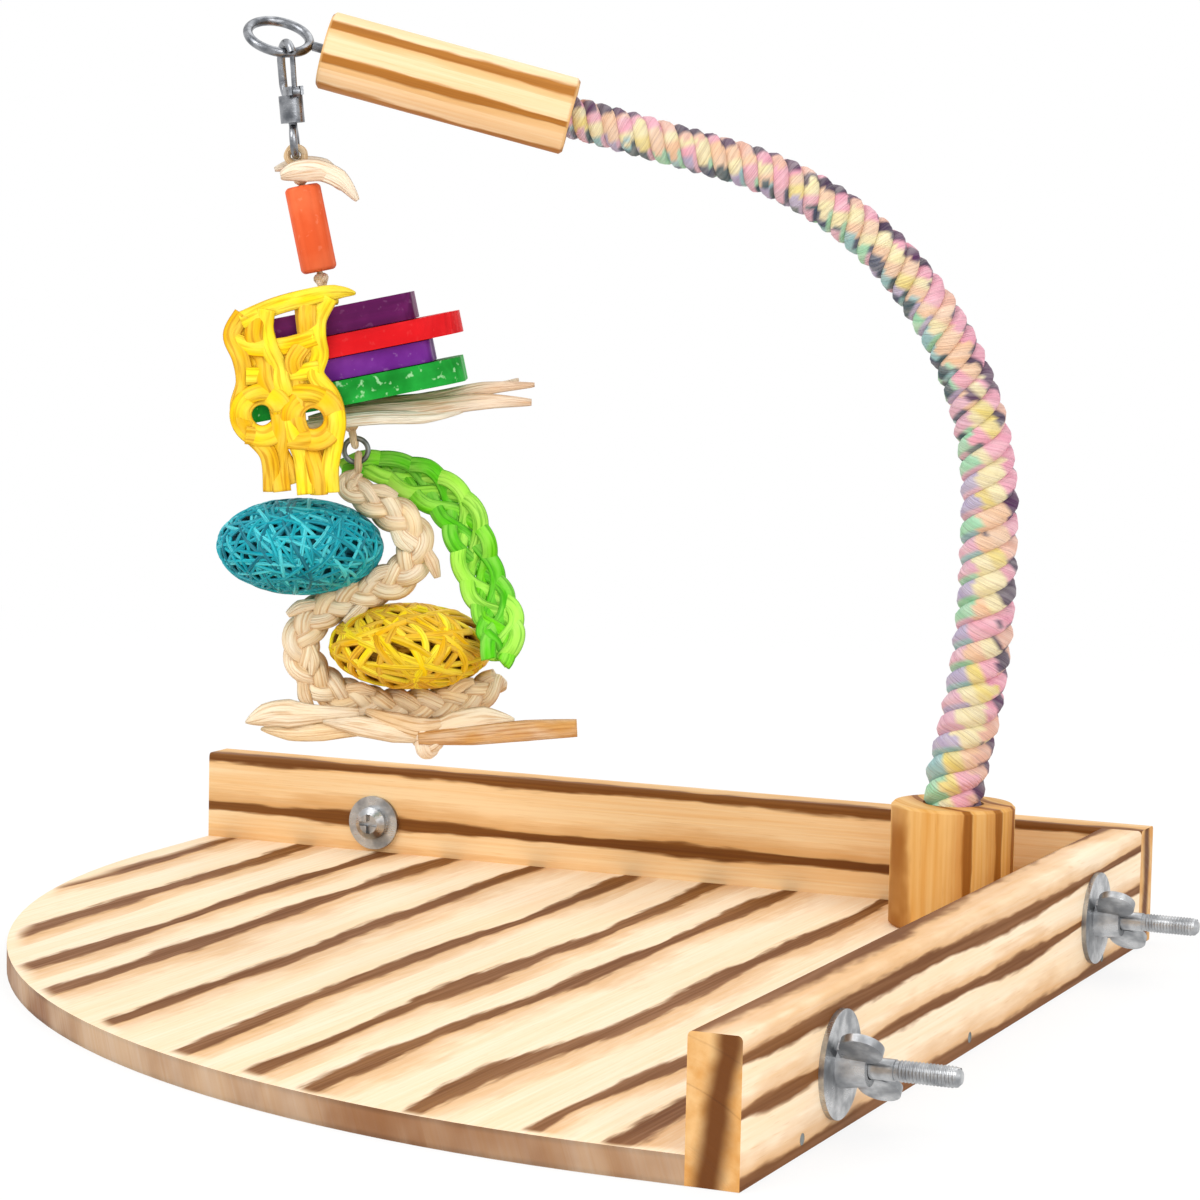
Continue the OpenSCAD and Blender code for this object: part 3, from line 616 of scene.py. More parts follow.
perchPoints, tipHeading = perchPath(perch)
tipTurn = radians(tipHeading)
tipAlong = cos(tipTurn) * zAxis - sin(tipTurn) * perchAcross
dowel = {"heartDeep": -0.016, "heartUp": 0.0689, "endDeep": -0.003}
dowelMiddle = sum(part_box("tip_dowel"), Vector()) / 2
dowelHeart = dowelMiddle + dowel["heartDeep"] * perchDeep + dowel["heartUp"] * zAxis
dowelWood = {
    **pine, "pale": "#f8dab0", "warm": "#f0c48e", "glow": "#dca660",
    "burnt": "#b9792e", "deep": "#9c6124",
    "heart": dowelHeart, "along": tipAlong, "seed": 21.0,
    "period": 0.0105, "width": 0.0026, "wander": 0.002, "ends": perchDeep,
    "endAt": dowelMiddle.dot(perchDeep) + dowel["endDeep"], "endWide": 0.004,
}
dress("tip_dowel", scorchedWood("tip_dowel_wood", dowelWood))
easeEdges("tip_dowel", dowelEdge)

rope = {
    "strands": 3, "lay": 1.12, "sides": 20, "yarns": 6, "relief": 0.045, "twist": 0.16, "seed": 7,
    "wides": [(0, 19.4), (0.066, 19.4), (0.085, 20.8), (0.348, 19.6), (0.8, 14.4), (1, 14.2)],
    "thick": 0.44, "long": 1.08, "archShare": 0.4, "blur": 0.4, "blurRun": 5, "dashRun": 4,
    "backFrom": 0.35, "leftFrom": 0.5, "rightFrom": -0.55,
    # the first two shares are dark flecks of painted shade on the left and right flanks
    "leftShadeShare": 0.32, "rightShadeShare": 0.42, "patchShare": 0.035, "patchFrom": 0.1,
    "paint": {
        "front": ["#f6e8b4", "#f2dd84", "#f6c9a2", "#f3aebf", "#f6e8b4", "#f5cfae"],
        "left": ["#a6dfb8", "#9cc9cb", "#bcb0d2", "#ebb7ca"],
        "right": ["#f0a6ba", "#f3c0aa", "#f0a6ba"],
        "back": ["#a6dfb8", "#f0a6ba", "#f6e8b4", "#bcb0d2"],
        "plum": ["#5a2f5a", "#48304f"],
        "teal": ["#3f5a63", "#4a5470"],
    },
}
ropeStuff = fibreStuff("ropeCotton", {
    "count": 16.0, "slant": 160.0, "seed": 2.0, "shade": "#a8939a", "light": "#fffaf2",
    "lift": 0.25, "contrast": 0.42, "rough": 0.82, "relief": 0.0005, "sheen": 0.12, "gloss": 0.2,
})


def makeRope(r):
    rng = random.Random(r["seed"])
    bag = newBag()
    frames = pathFrames(perchPoints, perchDeep)
    runs = lengths(perchPoints)
    wides = [tableValue(r["wides"], run / runs[-1]) * mm for run in runs]
    turns = [0.0]
    for k in range(1, len(runs)):
        turns.append(turns[-1] + (runs[k] - runs[k - 1]) / (r["lay"] * wides[k]))
    paint = {zone: [hexColour(c) for c in codes] for zone, codes in r["paint"].items()}
    dice = {}

    def roll(*key):
        if key not in dice:
            dice[key] = rng.random()
        return dice[key]

    def pick(zone, *key):
        return paint[zone][int(roll(zone, *key) * len(paint[zone]))]

    for s in range(r["strands"]):
        angles = [2 * pi * (t + s / r["strands"]) for t in turns]
        outward = [cos(a) * f[1] + sin(a) * f[2] for a, f in zip(angles, frames)]
        points = [p + w / 2 * (1 - r["thick"]) * o for p, w, o in zip(perchPoints, wides, outward)]

        def section(k, share):
            tall = r["lay"] * wides[k] / r["strands"] * r["long"]
            thick = wides[k] * r["thick"]
            return oval(tall, thick, r["sides"], r["yarns"], k * r["twist"], r["relief"])

        def tint(k, share, turn):
            # the yarns that face the room, the left, the right and the back differ; dark plum
            # flecks on the right flank and dark teal on the left flank of the arch are painted
            # shade
            yarn = int(turn * r["yarns"])
            lap = int(angles[k] / pi)
            dash = k // r["dashRun"]
            shift = roll("shift", s, k // r["blurRun"], yarn) - 0.5
            left = sin(angles[k]) + r["blur"] * shift
            if cos(angles[k]) > r["backFrom"]:
                return pick("back", s, lap, yarn // 2)
            if left > r["leftFrom"]:
                # dark teal on the arch's left flank: painted shade
                if share > r["archShare"] and roll("dark", s, dash, yarn // 2) < r["leftShadeShare"]:
                    return pick("teal", s, dash)
                return pick("left", s, lap, yarn // 2)
            if left < r["rightFrom"]:
                # dark plum flecks on the right flank: painted shade
                if roll("dark", s, dash, yarn // 2) < r["rightShadeShare"]:
                    return pick("plum", s, dash)
                return pick("right", s, lap)
            if roll("patch", s, lap) < r["patchShare"] and left < r["patchFrom"]:
                return pick("plum", s, lap)
            return pick("front", s, lap, yarn // 3)

        addTube(bag, points, section, strand=s, tint=tint, fixed=outward)
    makePiece("ropePerch", bag, ropeStuff, "base", ("rope_perch",))


makeRope(rope)
print("rope laid")


# hardware: plated steel

zinc = platedMetal("zincPlate", "#c6c7c8", "#8c8e91", scale=160.0, rough=0.26, seed=1.0)
nickel = platedMetal("nickelPlate", "#9c9ea2", "#5f6267", scale=220.0, rough=0.18, seed=4.0)
dullWire = platedMetal("dullWire", "#8f9492", "#6a6f6c", scale=220.0, rough=0.38, seed=6.0)
clampParts = [wall + part for wall in ("front_", "rear_", "back_")
              for part in ("inner_washer", "washer", "bolt", "wing_nut")]
for metal, nodes in (
        (zinc, ("block_screw", *clampParts)),
        (nickel, ("screw_eye", "hook_body", "hook_gate", "gate_pin", "swivel_eye")),
        (dullWire, ("link_ring", "perch_core", "wall_nails"))):
    for node in nodes:
        dress(node, metal)

thread = {
    "root": 2.62, "pitch": 1.0, "length": 17.2, "endGap": 0.9, "steps": 22,
    "foot": 0.44, "crest": 0.08, "rise": 0.36, "runIn": 12, "least": 0.1,
    "bolts": [("frontThread", "front_bolt", (1, 0, 0)), ("rearThread", "rear_bolt", (1, 0, 0)),
              ("backThread", "back_bolt", (0, 1, 0))],
}


def makeThread(name, node, axis, t):
    # a ridge wound round the free end of a bolt
    low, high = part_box(node)
    tip = (low + high) / 2 + axis * ((high - low).dot(axis) / 2 - t["endGap"] * mm)
    first = axis.orthogonal().normalized()
    second = axis.cross(first)
    bag = newBag()
    count = int(t["length"] / t["pitch"] * t["steps"])
    outward, points = [], []
    for k in range(count + 1):
        turn = 2 * pi * k / t["steps"]
        outward.append(cos(turn) * first + sin(turn) * second)
        back = axis * t["length"] * mm * (1 - k / count)
        points.append(tip - back + t["root"] * mm * outward[-1])
    foot, crest, rise = t["foot"] * mm, t["crest"] * mm, t["rise"] * mm

    def section(k, share):
        grown = min(1.0, t["runIn"] * share, t["runIn"] * (1 - share))
        full = grown * (1 - t["least"]) + t["least"]
        return [(-foot, 0.0), (foot, 0.0), (crest, rise * full), (-crest, rise * full)]

    addTube(bag, points, section, fixed=outward)
    piece = makePiece(name, bag, zinc, "base")
    piece.data.polygons.foreach_set("use_smooth", [False] * len(piece.data.polygons))


for name, node, axis in thread["bolts"]:
    makeThread(name, node, Vector(axis), thread)
print("metal dressed")


# dyed wood on the cord

chipLine = {"along": toyAcross, "heart": toyTop - 0.07 * toyUp + 0.05 * perchDeep, "edge": 0.0007}
beadLine = {"along": toyUp, "heart": toyTop + 0.02 * perchDeep, "edge": 0.0005}
dyeKeys = ("dye", "dark", "light", "bare", "cloud", "fleck", "seed")
dyes = {
    "upper_purple_chip": ("#651058", "#430a3c", "#852c72", "#b987ae", 0.45, 0.1, 1.5),
    "red_chip": ("#df0f18", "#b00810", "#ee2429", "#f48a84", 0.4, 0.06, 2.5),
    "lower_purple_chip": ("#6f1f8c", "#4e1066", "#9244ae", "#d3a8db", 0.5, 0.2, 3.5),
    "green_chip": ("#0c9a2c", "#056318", "#2cbf4a", "#b6eab4", 0.55, 0.6, 4.5),
    "orange_bead": ("#ea6636", "#d24d20", "#f28c5e", "#f8bc98", 0.35, 0.12, 9.0),
}
for node, row in dyes.items():
    line = beadLine if node == "orange_bead" else chipLine
    dress(node, dyedWood(node + "_dye", {**line, **dict(zip(dyeKeys, row))}))
    easeEdges(node, line["edge"])
print("dyed wood dressed")


# husk and palm

leafLook = {"slant": 0.0, "light": "#fffdf0", "lift": 0.3, "sheen": 0.0, "gloss": 0.2}
palmLook = {
    **leafLook, "count": 7.0, "contrast": 0.6, "rough": 0.5, "relief": 0.0003, "gloss": 0.1,
}
huskStuff = fibreStuff("drySheath", {
    **leafLook, "shade": "#cda673", "count": 13.0, "seed": 3.0, "contrast": 0.65, "rough": 0.7,
    "relief": 0.0005})


def palmStuff(name, shade, light, seed, **more):
    return fibreStuff(name, {**palmLook, "shade": shade, "light": light, "seed": seed, **more})


yellowPalm = palmStuff("yellowPalm", "#c99b40", "#fff27a", 5.0)
greenPalm = palmStuff("greenPalm", "#6fae4c", "#d4f78a", 6.0)
blueVine = palmStuff("blueVine", "#3f7f8a", "#7fe3ea", 7.0, lift=0.2, rough=0.36)
yellowVine = palmStuff("yellowVine", "#b08436", "#ffef8a", 8.0, lift=0.25, rough=0.42)
huskTints = ["#fce8c3", "#f8deb2", "#f1cf9e", "#fae5c4"]
pinkTints = ["#fbe6cb", "#f5d6b6", "#fdeed8", "#f0cba8"]
tanTints = ["#dfa863", "#d69c55"]
yellowTints = ["#fbe01c", "#f8d00f", "#f3bd0c"]
# darker amber for the backing strips: painted shade in the gaps of the weave
shadedBackTints = ["#ecb90c", "#e0aa08"]
greenTints = ["#76df14", "#8fe830", "#58cf0e", "#a4ec4a"]


def knotLoop(bag, middle, size, strandWide, up, across, tint):
    # a three-leaved knot, drawn tight
    deep, depth = up.cross(across), 0.6
    reach = (size - strandWide) / 2
    points = []
    for t in fullTurn(90):
        x = (sin(t) + 2 * sin(2 * t)) / 3
        y = (cos(t) - 2 * cos(2 * t)) / 3
        z = -sin(3 * t) * depth
        points.append(middle + reach * (x * across + y * up + z * deep))

    def section(k, share):
        return oval(strandWide, strandWide, sides=12, yarns=4, turn=k * 0.5, relief=0.06)

    addTube(bag, points, section, up, closed=True, tint=tint)


cord = {
    "seed": 2, "plies": 2, "plyPitch": 5.0, "plyWide": 1.3, "plyReach": 0.55, "steps": 240,
    "linkDown": 95.8, "swivelLoop": 2.8, "linkLoop": 2.4, "loopWide": 2.4,
    "knots": [(6.3, 7.6), (41.9, 5.4), (89.9, 7.6)], "knotStrand": 0.42,
}


def makeCord(c):
    rng = random.Random(c["seed"])
    bag = newBag()
    start, end = c["swivelLoop"], c["linkDown"] - c["linkLoop"]
    reach, plyWide, loopWide = c["plyReach"], c["plyWide"] * mm, c["loopWide"] * mm
    for ply in range(c["plies"]):
        points = []
        for k in range(c["steps"] + 1):
            down = start + (end - start) * k / c["steps"]
            turn = 2 * pi * (down / c["plyPitch"] + ply / c["plies"])
            points.append(inToy(reach * cos(turn), down, reach * sin(turn)))
        ring = oval(plyWide, plyWide, sides=8)
        addTube(bag, points, ring, strand=ply, tint=pickTint(rng, huskTints))

    def loopSection(k, share):
        return oval(loopWide, loopWide, sides=12, yarns=3, turn=k * 0.6, relief=0.08)

    for middle, a, radius in ((toyTop, toyAcross, c["swivelLoop"]),
                              (inToy(0, c["linkDown"]), perchDeep, c["linkLoop"])):
        ring = [middle + radius * mm * (cos(t) * a + sin(t) * toyUp)
                for t in fullTurn(48)]
        addTube(bag, ring, loopSection, a.cross(toyUp), closed=True, tint=pickTint(rng, huskTints))
    for down, size in c["knots"]:
        knotLoop(bag, inToy(0, down), size * mm, size * c["knotStrand"] * mm, toyUp, toyAcross,
                 pickTint(rng, huskTints))
    makePiece("toyCord", bag, huskStuff, "toy", ("toy_cord",))


makeCord(cord)


def leafStrip(bag, route, widths, thick, normal, strand=0, crown=0.6, tint=(1, 1, 1, 1)):
    # a thin leaf along a route, folded lightly along its middle
    points = splinePoints(route, steps=8)
    spans, tiny = len(widths) - 1, 1e-6

    def section(k, share):
        spot = min(share * spans, spans - tiny)
        n = int(spot)
        wide = (widths[n] + (widths[n + 1] - widths[n]) * (spot - n)) * mm
        return [(u, v - crown * mm * (2 * u / max(wide, tiny)) ** 2)
                for u, v in oval(wide, thick * mm, sides=12)]

    addTube(bag, points, section, strand=strand, fixed=normal, tint=tint)


def leafBunch(b, place, facing, tints):
    bag, rng = newBag(), random.Random(b["seed"])
    for n, (widths, route) in enumerate(b["leaves"]):
        leafStrip(bag, [place(*p) for p in route], widths, b["thick"], facing, strand=n,
                  crown=b["crown"], tint=pickTint(rng, tints))
    return bag, rng


# leaves tied in with the top knot, draped over the bead's right shoulder: widths, then route

wrap = {
    "seed": 14, "thick": 0.8, "crown": 0.7,
    "leaves": [
        ((2, 5, 7, 6.4, 1.6),
         [(-6, 5.4, -3.4), (-1, 4.4, -4.8), (6, 6, -5.6), (13, 10.6, -5.4), (17.4, 18.6, -4)]),
        ((1.5, 5, 6, 1.5), [(-6, 6.4, -4), (2, 6.8, -5.8), (9, 8, -5.6), (13, 14, -4.4)]),
        ((1.5, 5, 6, 1.2), [(-8, 3, 2), (0, 2.6, 4), (8, 5.4, 4.4), (14, 11, 3)]),
    ],
}
wrapBag = leafBunch(wrap, inToy, -perchDeep, pinkTints)[0]
makePiece("knotLeaves", wrapBag, huskStuff, "toy")

# tuft of leaves under the chips

tuft = {
    "seed": 4, "thick": 0.8, "crown": 0.5, "facingUp": 0.4, "facingDeep": -0.92,
    "leaves": [
        ((2, 6, 7, 6, 2.4),
         [(-13, 86, -6), (4, 87.4, -7), (24, 90, -8), (44, 91.4, -8), (61, 95, -7.4)]),
        ((2, 5.5, 6.5, 5, 1.6),
         [(-9, 85.6, -3), (8, 86.4, -3.6), (28, 88, -4), (46, 87.6, -4), (63, 89.6, -4)]),
        ((2, 5, 6, 4.5, 1.2),
         [(-12, 86, 1), (6, 86.8, 1), (26, 89.6, 1), (42, 89, 1), (58, 87, 1)]),
        ((2, 5, 5.5, 4, 0.8),
         [(-8, 85.4, 4), (10, 86, 4), (26, 88, 5), (40, 90, 6), (51, 91.5, 6)]),
        ((3.6, 5, 5, 4.6, 0.8),
         [(-17, 88, -13), (-7, 88.4, -12), (9, 89.8, -10.4), (25, 92.8, -9.4),
          (38, 93.6, -8.6)]),
    ],
}
tuftFacing = (tuft["facingUp"] * toyUp + tuft["facingDeep"] * perchDeep).normalized()
tuftBag = leafBunch(tuft, inToy, tuftFacing, pinkTints)[0]
makePiece("huskTuft", tuftBag, huskStuff, "toy", ("husk_tuft",))


# plaited husk rope in an S, with its loop on the link

braid = {
    # across, deep, height and share of the full width
    "route": [
        (0, 0, -3.2, 0.28), (-3, 0, -8, 0.65), (7, 0, -14, 0.95), (17, 0, -21, 1),
        (19.5, 0, -30, 1), (14, 0, -38.5, 1), (2, 0, -43.5, 1), (-11, 0, -50, 1),
        (-18.5, 0, -60, 1), (-16, 0, -70, 1), (-7, 0, -78, 1), (7, 0, -82, 1), (25, 0, -82, 1),
        (40, 0, -78, 0.9), (48, 0, -72, 0.7),
    ],
    "seed": 31, "strands": 3, "wide": 13.4, "pitch": 25.0, "sway": 0.25, "over": 0.2,
    "strandWide": 0.5, "strandThick": 0.52, "puff": 0.12, "shades": 4, "shadeRun": 30,
    "flankShadeTone": (0.35, 0.62, 0.85), "flankShadeDepth": 0.6, "loop": 2.7, "loopWide": 2.4,
    "ends": 11, "startOut": 0.45, "startNear": 0.55, "bendOut": 0.4, "bendNear": 0.25,
    "endStep": 0.005, "endSpread": 0.3, "endWide": (3.4, 4.8, 2.2),
}


def makeBraid(b):
    rng = random.Random(b["seed"])
    bag = newBag()
    dense = splinePoints([Vector((*inLower(*p[:3]), p[3])) for p in b["route"]], steps=14)
    middles = [Vector(p[:3]) for p in dense]
    wides = [b["wide"] * mm * p[3] for p in dense]
    laps = [run / (b["pitch"] * mm) for run in lengths(middles)]
    sideways = [(perchDeep.cross(along), along) for along in headings(middles)]
    for s in range(b["strands"]):
        points = []
        for k, middle in enumerate(middles):
            turn = 2 * pi * (laps[k] + s / b["strands"])
            aside = b["sway"] * sin(turn) * sideways[k][0]
            points.append(middle + wides[k] * (aside + b["over"] * sin(2 * turn) * perchDeep))
        # each tint carries painted shade along the strand's flanks, where the plaits meet
        shades = [flankShadeTint(pickTint(rng, huskTints), b["flankShadeTone"], b["flankShadeDepth"])
                  for _ in range(b["shades"])]

        def section(k, share):
            puff = 1 + b["puff"] * sin(4 * pi * (laps[k] + s / b["strands"]))
            return oval(wides[k] * b["strandWide"] * puff, wides[k] * b["strandThick"] * puff,
                        sides=18, yarns=5, turn=k * 0.12 + s, relief=0.06)

        def tint(k, share, turn):
            shade = int(turn * b["shades"] + k / b["shadeRun"]) % b["shades"]
            return shades[shade](k, share, turn)

        addTube(bag, points, section, strand=s, fixed=perchDeep, tint=tint)
    # leaf ends that stand out of the plait, to each side by turns
    for n in range(b["ends"]):
        k = int((n + 1.5) / (b["ends"] + 2) * len(middles))
        side, along = sideways[k]
        lean = 1 if n % 2 else -1
        half, step = wides[k] * 0.5, b["endStep"] * along
        start = middles[k] + lean * b["startOut"] * half * side - b["startNear"] * half * perchDeep
        bend = start + step + lean * b["bendOut"] * half * side - b["bendNear"] * half * perchDeep
        end = bend + step + lean * rng.uniform(0.0, b["endSpread"]) * half * side
        leafStrip(bag, [start, bend, end], b["endWide"], thick=0.9, normal=-perchDeep,
                  strand=10 + n, crown=0.4, tint=pickTint(rng, huskTints))
    ring = [lowerTop + b["loop"] * mm * (cos(t) * perchDeep + sin(t) * zAxis)
            for t in fullTurn(48)]
    loopWide = b["loopWide"] * mm
    addTube(bag, ring, oval(loopWide, loopWide, sides=12), perchAcross, closed=True,
            tint=pickTint(rng, huskTints))
    makePiece("huskBraid", bag, huskStuff, "lower_toy", ("husk_braid",))


makeBraid(braid)


# vine balls: long loops of vine wound round and round

blueBall = {
    "seed": 11, "flat": 0.75, "shift": (1.4, -2.2), "swell": (1.03, 1.03, 1.06),
    # loops, share of the ball's size, width of the vine and its tints
    "layers": [
        # the dark inner layer is painted shade inside the ball
        (36, 0.86, 3.0, ["#015a6c", "#02687c"]),
        # the pale #4fd2dc among the outer tints is a painted highlight
        (72, 0.985, 1.4, ["#0093a6", "#00a2b4", "#10b6c5", "#007488", "#4fd2dc"]),
    ],
}
yellowBall = {
    "seed": 23, "flat": 0.6, "shift": (-1.6, -0.6), "swell": (0.98, 0.98, 1.12),
    "layers": [
        # the darker gold inner layer is painted shade inside the ball
        (22, 0.84, 3.2, ["#c58a06", "#b27806"]),
        (30, 0.985, 2.7, ["#f8d400", "#fbe01c", "#f0c400", "#e2ac00"]),
    ],
}


def makeBall(name, b, material, node):
    rng = random.Random(b["seed"])
    bag = newBag()
    low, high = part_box(node)
    shift = b["shift"][0] * mm * perchAcross + b["shift"][1] * mm * zAxis
    middle = (low + high) / 2 + shift
    half = (high - low) / 2
    steep = 0.7
    for loops, fill, vineWide, tints in b["layers"]:
        room = [h * f - vineWide * mm / 2 for h, f in zip(half, b["swell"])]
        for n in range(loops):
            spin = (rng.gauss(0, 1), rng.gauss(0, 1), rng.gauss(0, 1) * steep)
            pole = Vector(spin).normalized()
            first = pole.orthogonal().normalized()
            second = pole.cross(first)
            tilt = rng.uniform(-0.3, 0.3)
            phase = rng.uniform(0, 6.28)
            points, outward = [], []
            for t in fullTurn(72):
                spot = (cos(t) * first + sin(t) * second
                        + tilt * sin(2 * t + phase) * pole)
                ripple = 1 + 0.014 * sin(5 * t + phase)
                spot = spot.normalized() * fill * ripple
                points.append(middle + Vector([x * r for x, r in zip(spot, room)]))
                outward.append(Vector([x / r for x, r in zip(spot, room)]).normalized())
            wide = vineWide * rng.uniform(0.8, 1.15)
            ring = oval(wide * mm, wide * b["flat"] * mm, sides=8)
            addTube(bag, points, ring, closed=True, strand=n,
                    tint=pickTint(rng, tints, spread=0.12), fixed=outward)
    makePiece(name, bag, material, "lower_toy", (node,))


makeBall("blueBall", blueBall, blueVine, "blue_ball")
makeBall("yellowBall", yellowBall, yellowVine, "yellow_ball")


# flat plait of green palm leaf

vine = {
    "route": [
        (-6, 6.9, -3), (3, 6.9, -1), (14, 8, -4), (25, 6, -9), (33.5, 3, -16), (38, 0, -26),
        (41, 0, -36), (45, -5, -44), (48.5, -13.5, -50.5), (49.5, -21.8, -57), (48, -25.6, -63),
    ],
    "seed": 17, "strands": 5, "wave": 50.0, "wide": 17.0, "strip": 5.4, "thick": 1.5, "over": 1.1,
    "narrow": [(0, 0.12), (0.1, 0.4), (0.26, 1.0), (0.85, 1.0), (1, 0.45)],
    "flankShadeTone": (0.75, 0.42, 0.8), "flankShadeDepth": 0.55,
}


def makeVine(v):
    rng = random.Random(v["seed"])
    bag = newBag()
    points = splinePoints([inLower(*p) for p in v["route"]], steps=12)
    runs = lengths(points)
    sideways = [perchDeep.cross(along).normalized() for along in headings(points)]
    strip = oval(v["strip"] * mm, v["thick"] * mm, sides=10)
    for s in range(v["strands"]):
        path = []
        for k, middle in enumerate(points):
            turn = 2 * pi * (runs[k] / (v["wave"] * mm) + s / v["strands"])
            narrow = tableValue(v["narrow"], k / (len(points) - 1))
            reach = (v["wide"] - v["strip"]) / 2 * mm * narrow
            over = v["thick"] * v["over"] * mm * cos(2 * turn)
            path.append(middle + reach * sin(turn) * sideways[k] + over * perchDeep)
        # painted shade along both flanks of each strip
        tint = flankShadeTint(pickTint(rng, greenTints), v["flankShadeTone"], v["flankShadeDepth"])
        addTube(bag, path, strip, strand=s, fixed=perchDeep, tint=tint)
    makePiece("greenVine", bag, greenPalm, "lower_toy", ("green_vine",))


makeVine(vine)


# flat woven figure of yellow palm, tied to the cord by a collar

weave = {
    "seed": 19, "deep": -19.8, "over": 0.8, "strip": 6.0, "thick": 1.2, "crown": 0.3,
    "strapWide": (6.0, 6.0, 5.0, 1.4), "flankShadeTone": (0.12, 0.38, 0.7), "flankShadeDepth": 0.55,
    "uprights": [
        [(-26, 48), (-31, 54), (-29.5, 62), (-30, 70), (-33.5, 78), (-32, 86), (-27, 95),
         (-28.5, 107)],
        [(-21, 47.5), (-24, 56), (-22.5, 64), (-23, 71), (-21, 80), (-21.5, 88), (-24, 97),
         (-25, 107.5)],
        [(-18, 48), (-20, 54), (-19.5, 61), (-18, 67), (-18, 72), (-17.5, 80), (-18, 88),
         (-16.5, 98), (-17.5, 110)],
        [(-4, 47), (-5.5, 53), (-7, 60), (-12.5, 66), (-13, 73), (-15.5, 86), (-13.5, 94),
         (-12.5, 104), (-13.5, 111)],
        [(3, 48), (-2, 54), (-3.5, 60), (-4, 66), (-6.5, 72), (-3, 80), (-2.5, 88), (-5, 95),
         (-8, 103), (-9.5, 111)],
    ],
    "bandStrand": 10,
    "bands": [
        [(-27, 50), (-15, 47.5), (0, 46.6), (7, 47.2, 2.6), (11, 48.4, 6.4)],
        [(-31, 56), (-24, 59.5), (-14, 61), (-4, 60)],
        [(-29, 68), (-18, 70), (-5, 70.5)],
        [(-34, 76), (-26, 74), (-18, 76), (-8, 78), (-2, 83)],
        [(-33, 87), (-24, 90), (-14, 92.5), (-3, 92)],
    ],
    "backStrand": 20, "backWide": 7.0, "backDeep": -18.4, "backCrown": 0.2,
    "backing": [
        [(-26, 51), (-26, 60), (-25.5, 68), (-28, 74)],
        [(-20.5, 56), (-20.5, 66), (-20, 76), (-19, 90)],
        [(-12.5, 60), (-14, 68), (-12, 75)],
        [(-8, 62), (-8, 69), (-9, 75)],
        [(-5.5, 47.5), (-6, 53), (-6.5, 59)],
        [(-26, 90), (-23, 98), (-22, 106)],
        [(-15, 93), (-10, 100), (-11, 108)],
    ],
    "rings": [(-26.5, 81.6, 7.0), (-10.2, 86.0, 7.0)],
    "ringWide": 7.4, "ringOver": 1.0,
    "collar": {"down": 47.9, "reach": 3.4, "part": 1.6, "thick": 2.0, "tall": 3.2},
    "tie": [(-3, 47.5, -3), (-4, 47, -10), (-4, 47.5, -19)], "tieWide": (5, 6, 6), "tieThick": 1.6,
}


def makeWeave(w):
    rng = random.Random(w["seed"])
    bag = newBag()
    front = -perchDeep
    stripWide, backWide = [w["strip"]] * 2, [w["backWide"]] * 2

    # weave strips get painted shade along both flanks
    def flankShaded(tints):
        return flankShadeTint(pickTint(rng, tints), w["flankShadeTone"], w["flankShadeDepth"])

    def woven(n, strip):
        # over and under by turns, apart from points that bring their own depth
        route = []
        for k, (across, down, *deep) in enumerate(strip):
            over = deep[0] if deep else w["over"] if (k + n) % 2 else -w["over"]
            route.append(inToy(across, down, w["deep"] + over))
        return route

    for n, strip in enumerate(w["uprights"]):
        leafStrip(bag, woven(n, strip), stripWide, w["thick"], front, strand=n, crown=w["crown"],
                  tint=flankShaded(yellowTints))
    for n, strip in enumerate(w["bands"]):
        leafStrip(bag, woven(n, strip), stripWide if n else w["strapWide"], w["thick"], front,
                  strand=w["bandStrand"] + n, crown=w["crown"], tint=flankShaded(yellowTints))
    # backing strips behind the gaps, in darker amber as painted shade
    for n, strip in enumerate(w["backing"]):
        leafStrip(bag, [inToy(*p, w["backDeep"]) for p in strip], backWide, w["thick"], front,
                  strand=w["backStrand"] + n, crown=w["backCrown"], tint=flankShaded(shadedBackTints))
    ring = oval(w["ringWide"] * mm, w["thick"] * mm, sides=12)
    for across, down, radius in w["rings"]:
        loop = [inToy(across + radius * cos(t), down + radius * sin(t),
                      w["deep"] + w["ringOver"] * sin(3 * t)) for t in fullTurn(48)]
        addTube(bag, loop, ring, closed=True, fixed=front, tint=flankShaded(yellowTints))
    c = w["collar"]
    band = oval(c["thick"] * mm, c["tall"] * mm, sides=10)
    for side in (-1, 1):
        down = c["down"] + c["part"] * side
        loop = [inToy(c["reach"] * cos(t), down, c["reach"] * sin(t))
                for t in fullTurn(40)]
        addTube(bag, loop, band, closed=True, fixed=toyUp, tint=pickTint(rng, yellowTints))
    leafStrip(bag, [inToy(*p) for p in w["tie"]], w["tieWide"], w["tieThick"], toyUp,
              tint=pickTint(rng, yellowTints))
    makePiece("yellowWeave", bag, yellowPalm, "toy", ("yellow_weave",))


makeWeave(weave)


# husk bow under the braid

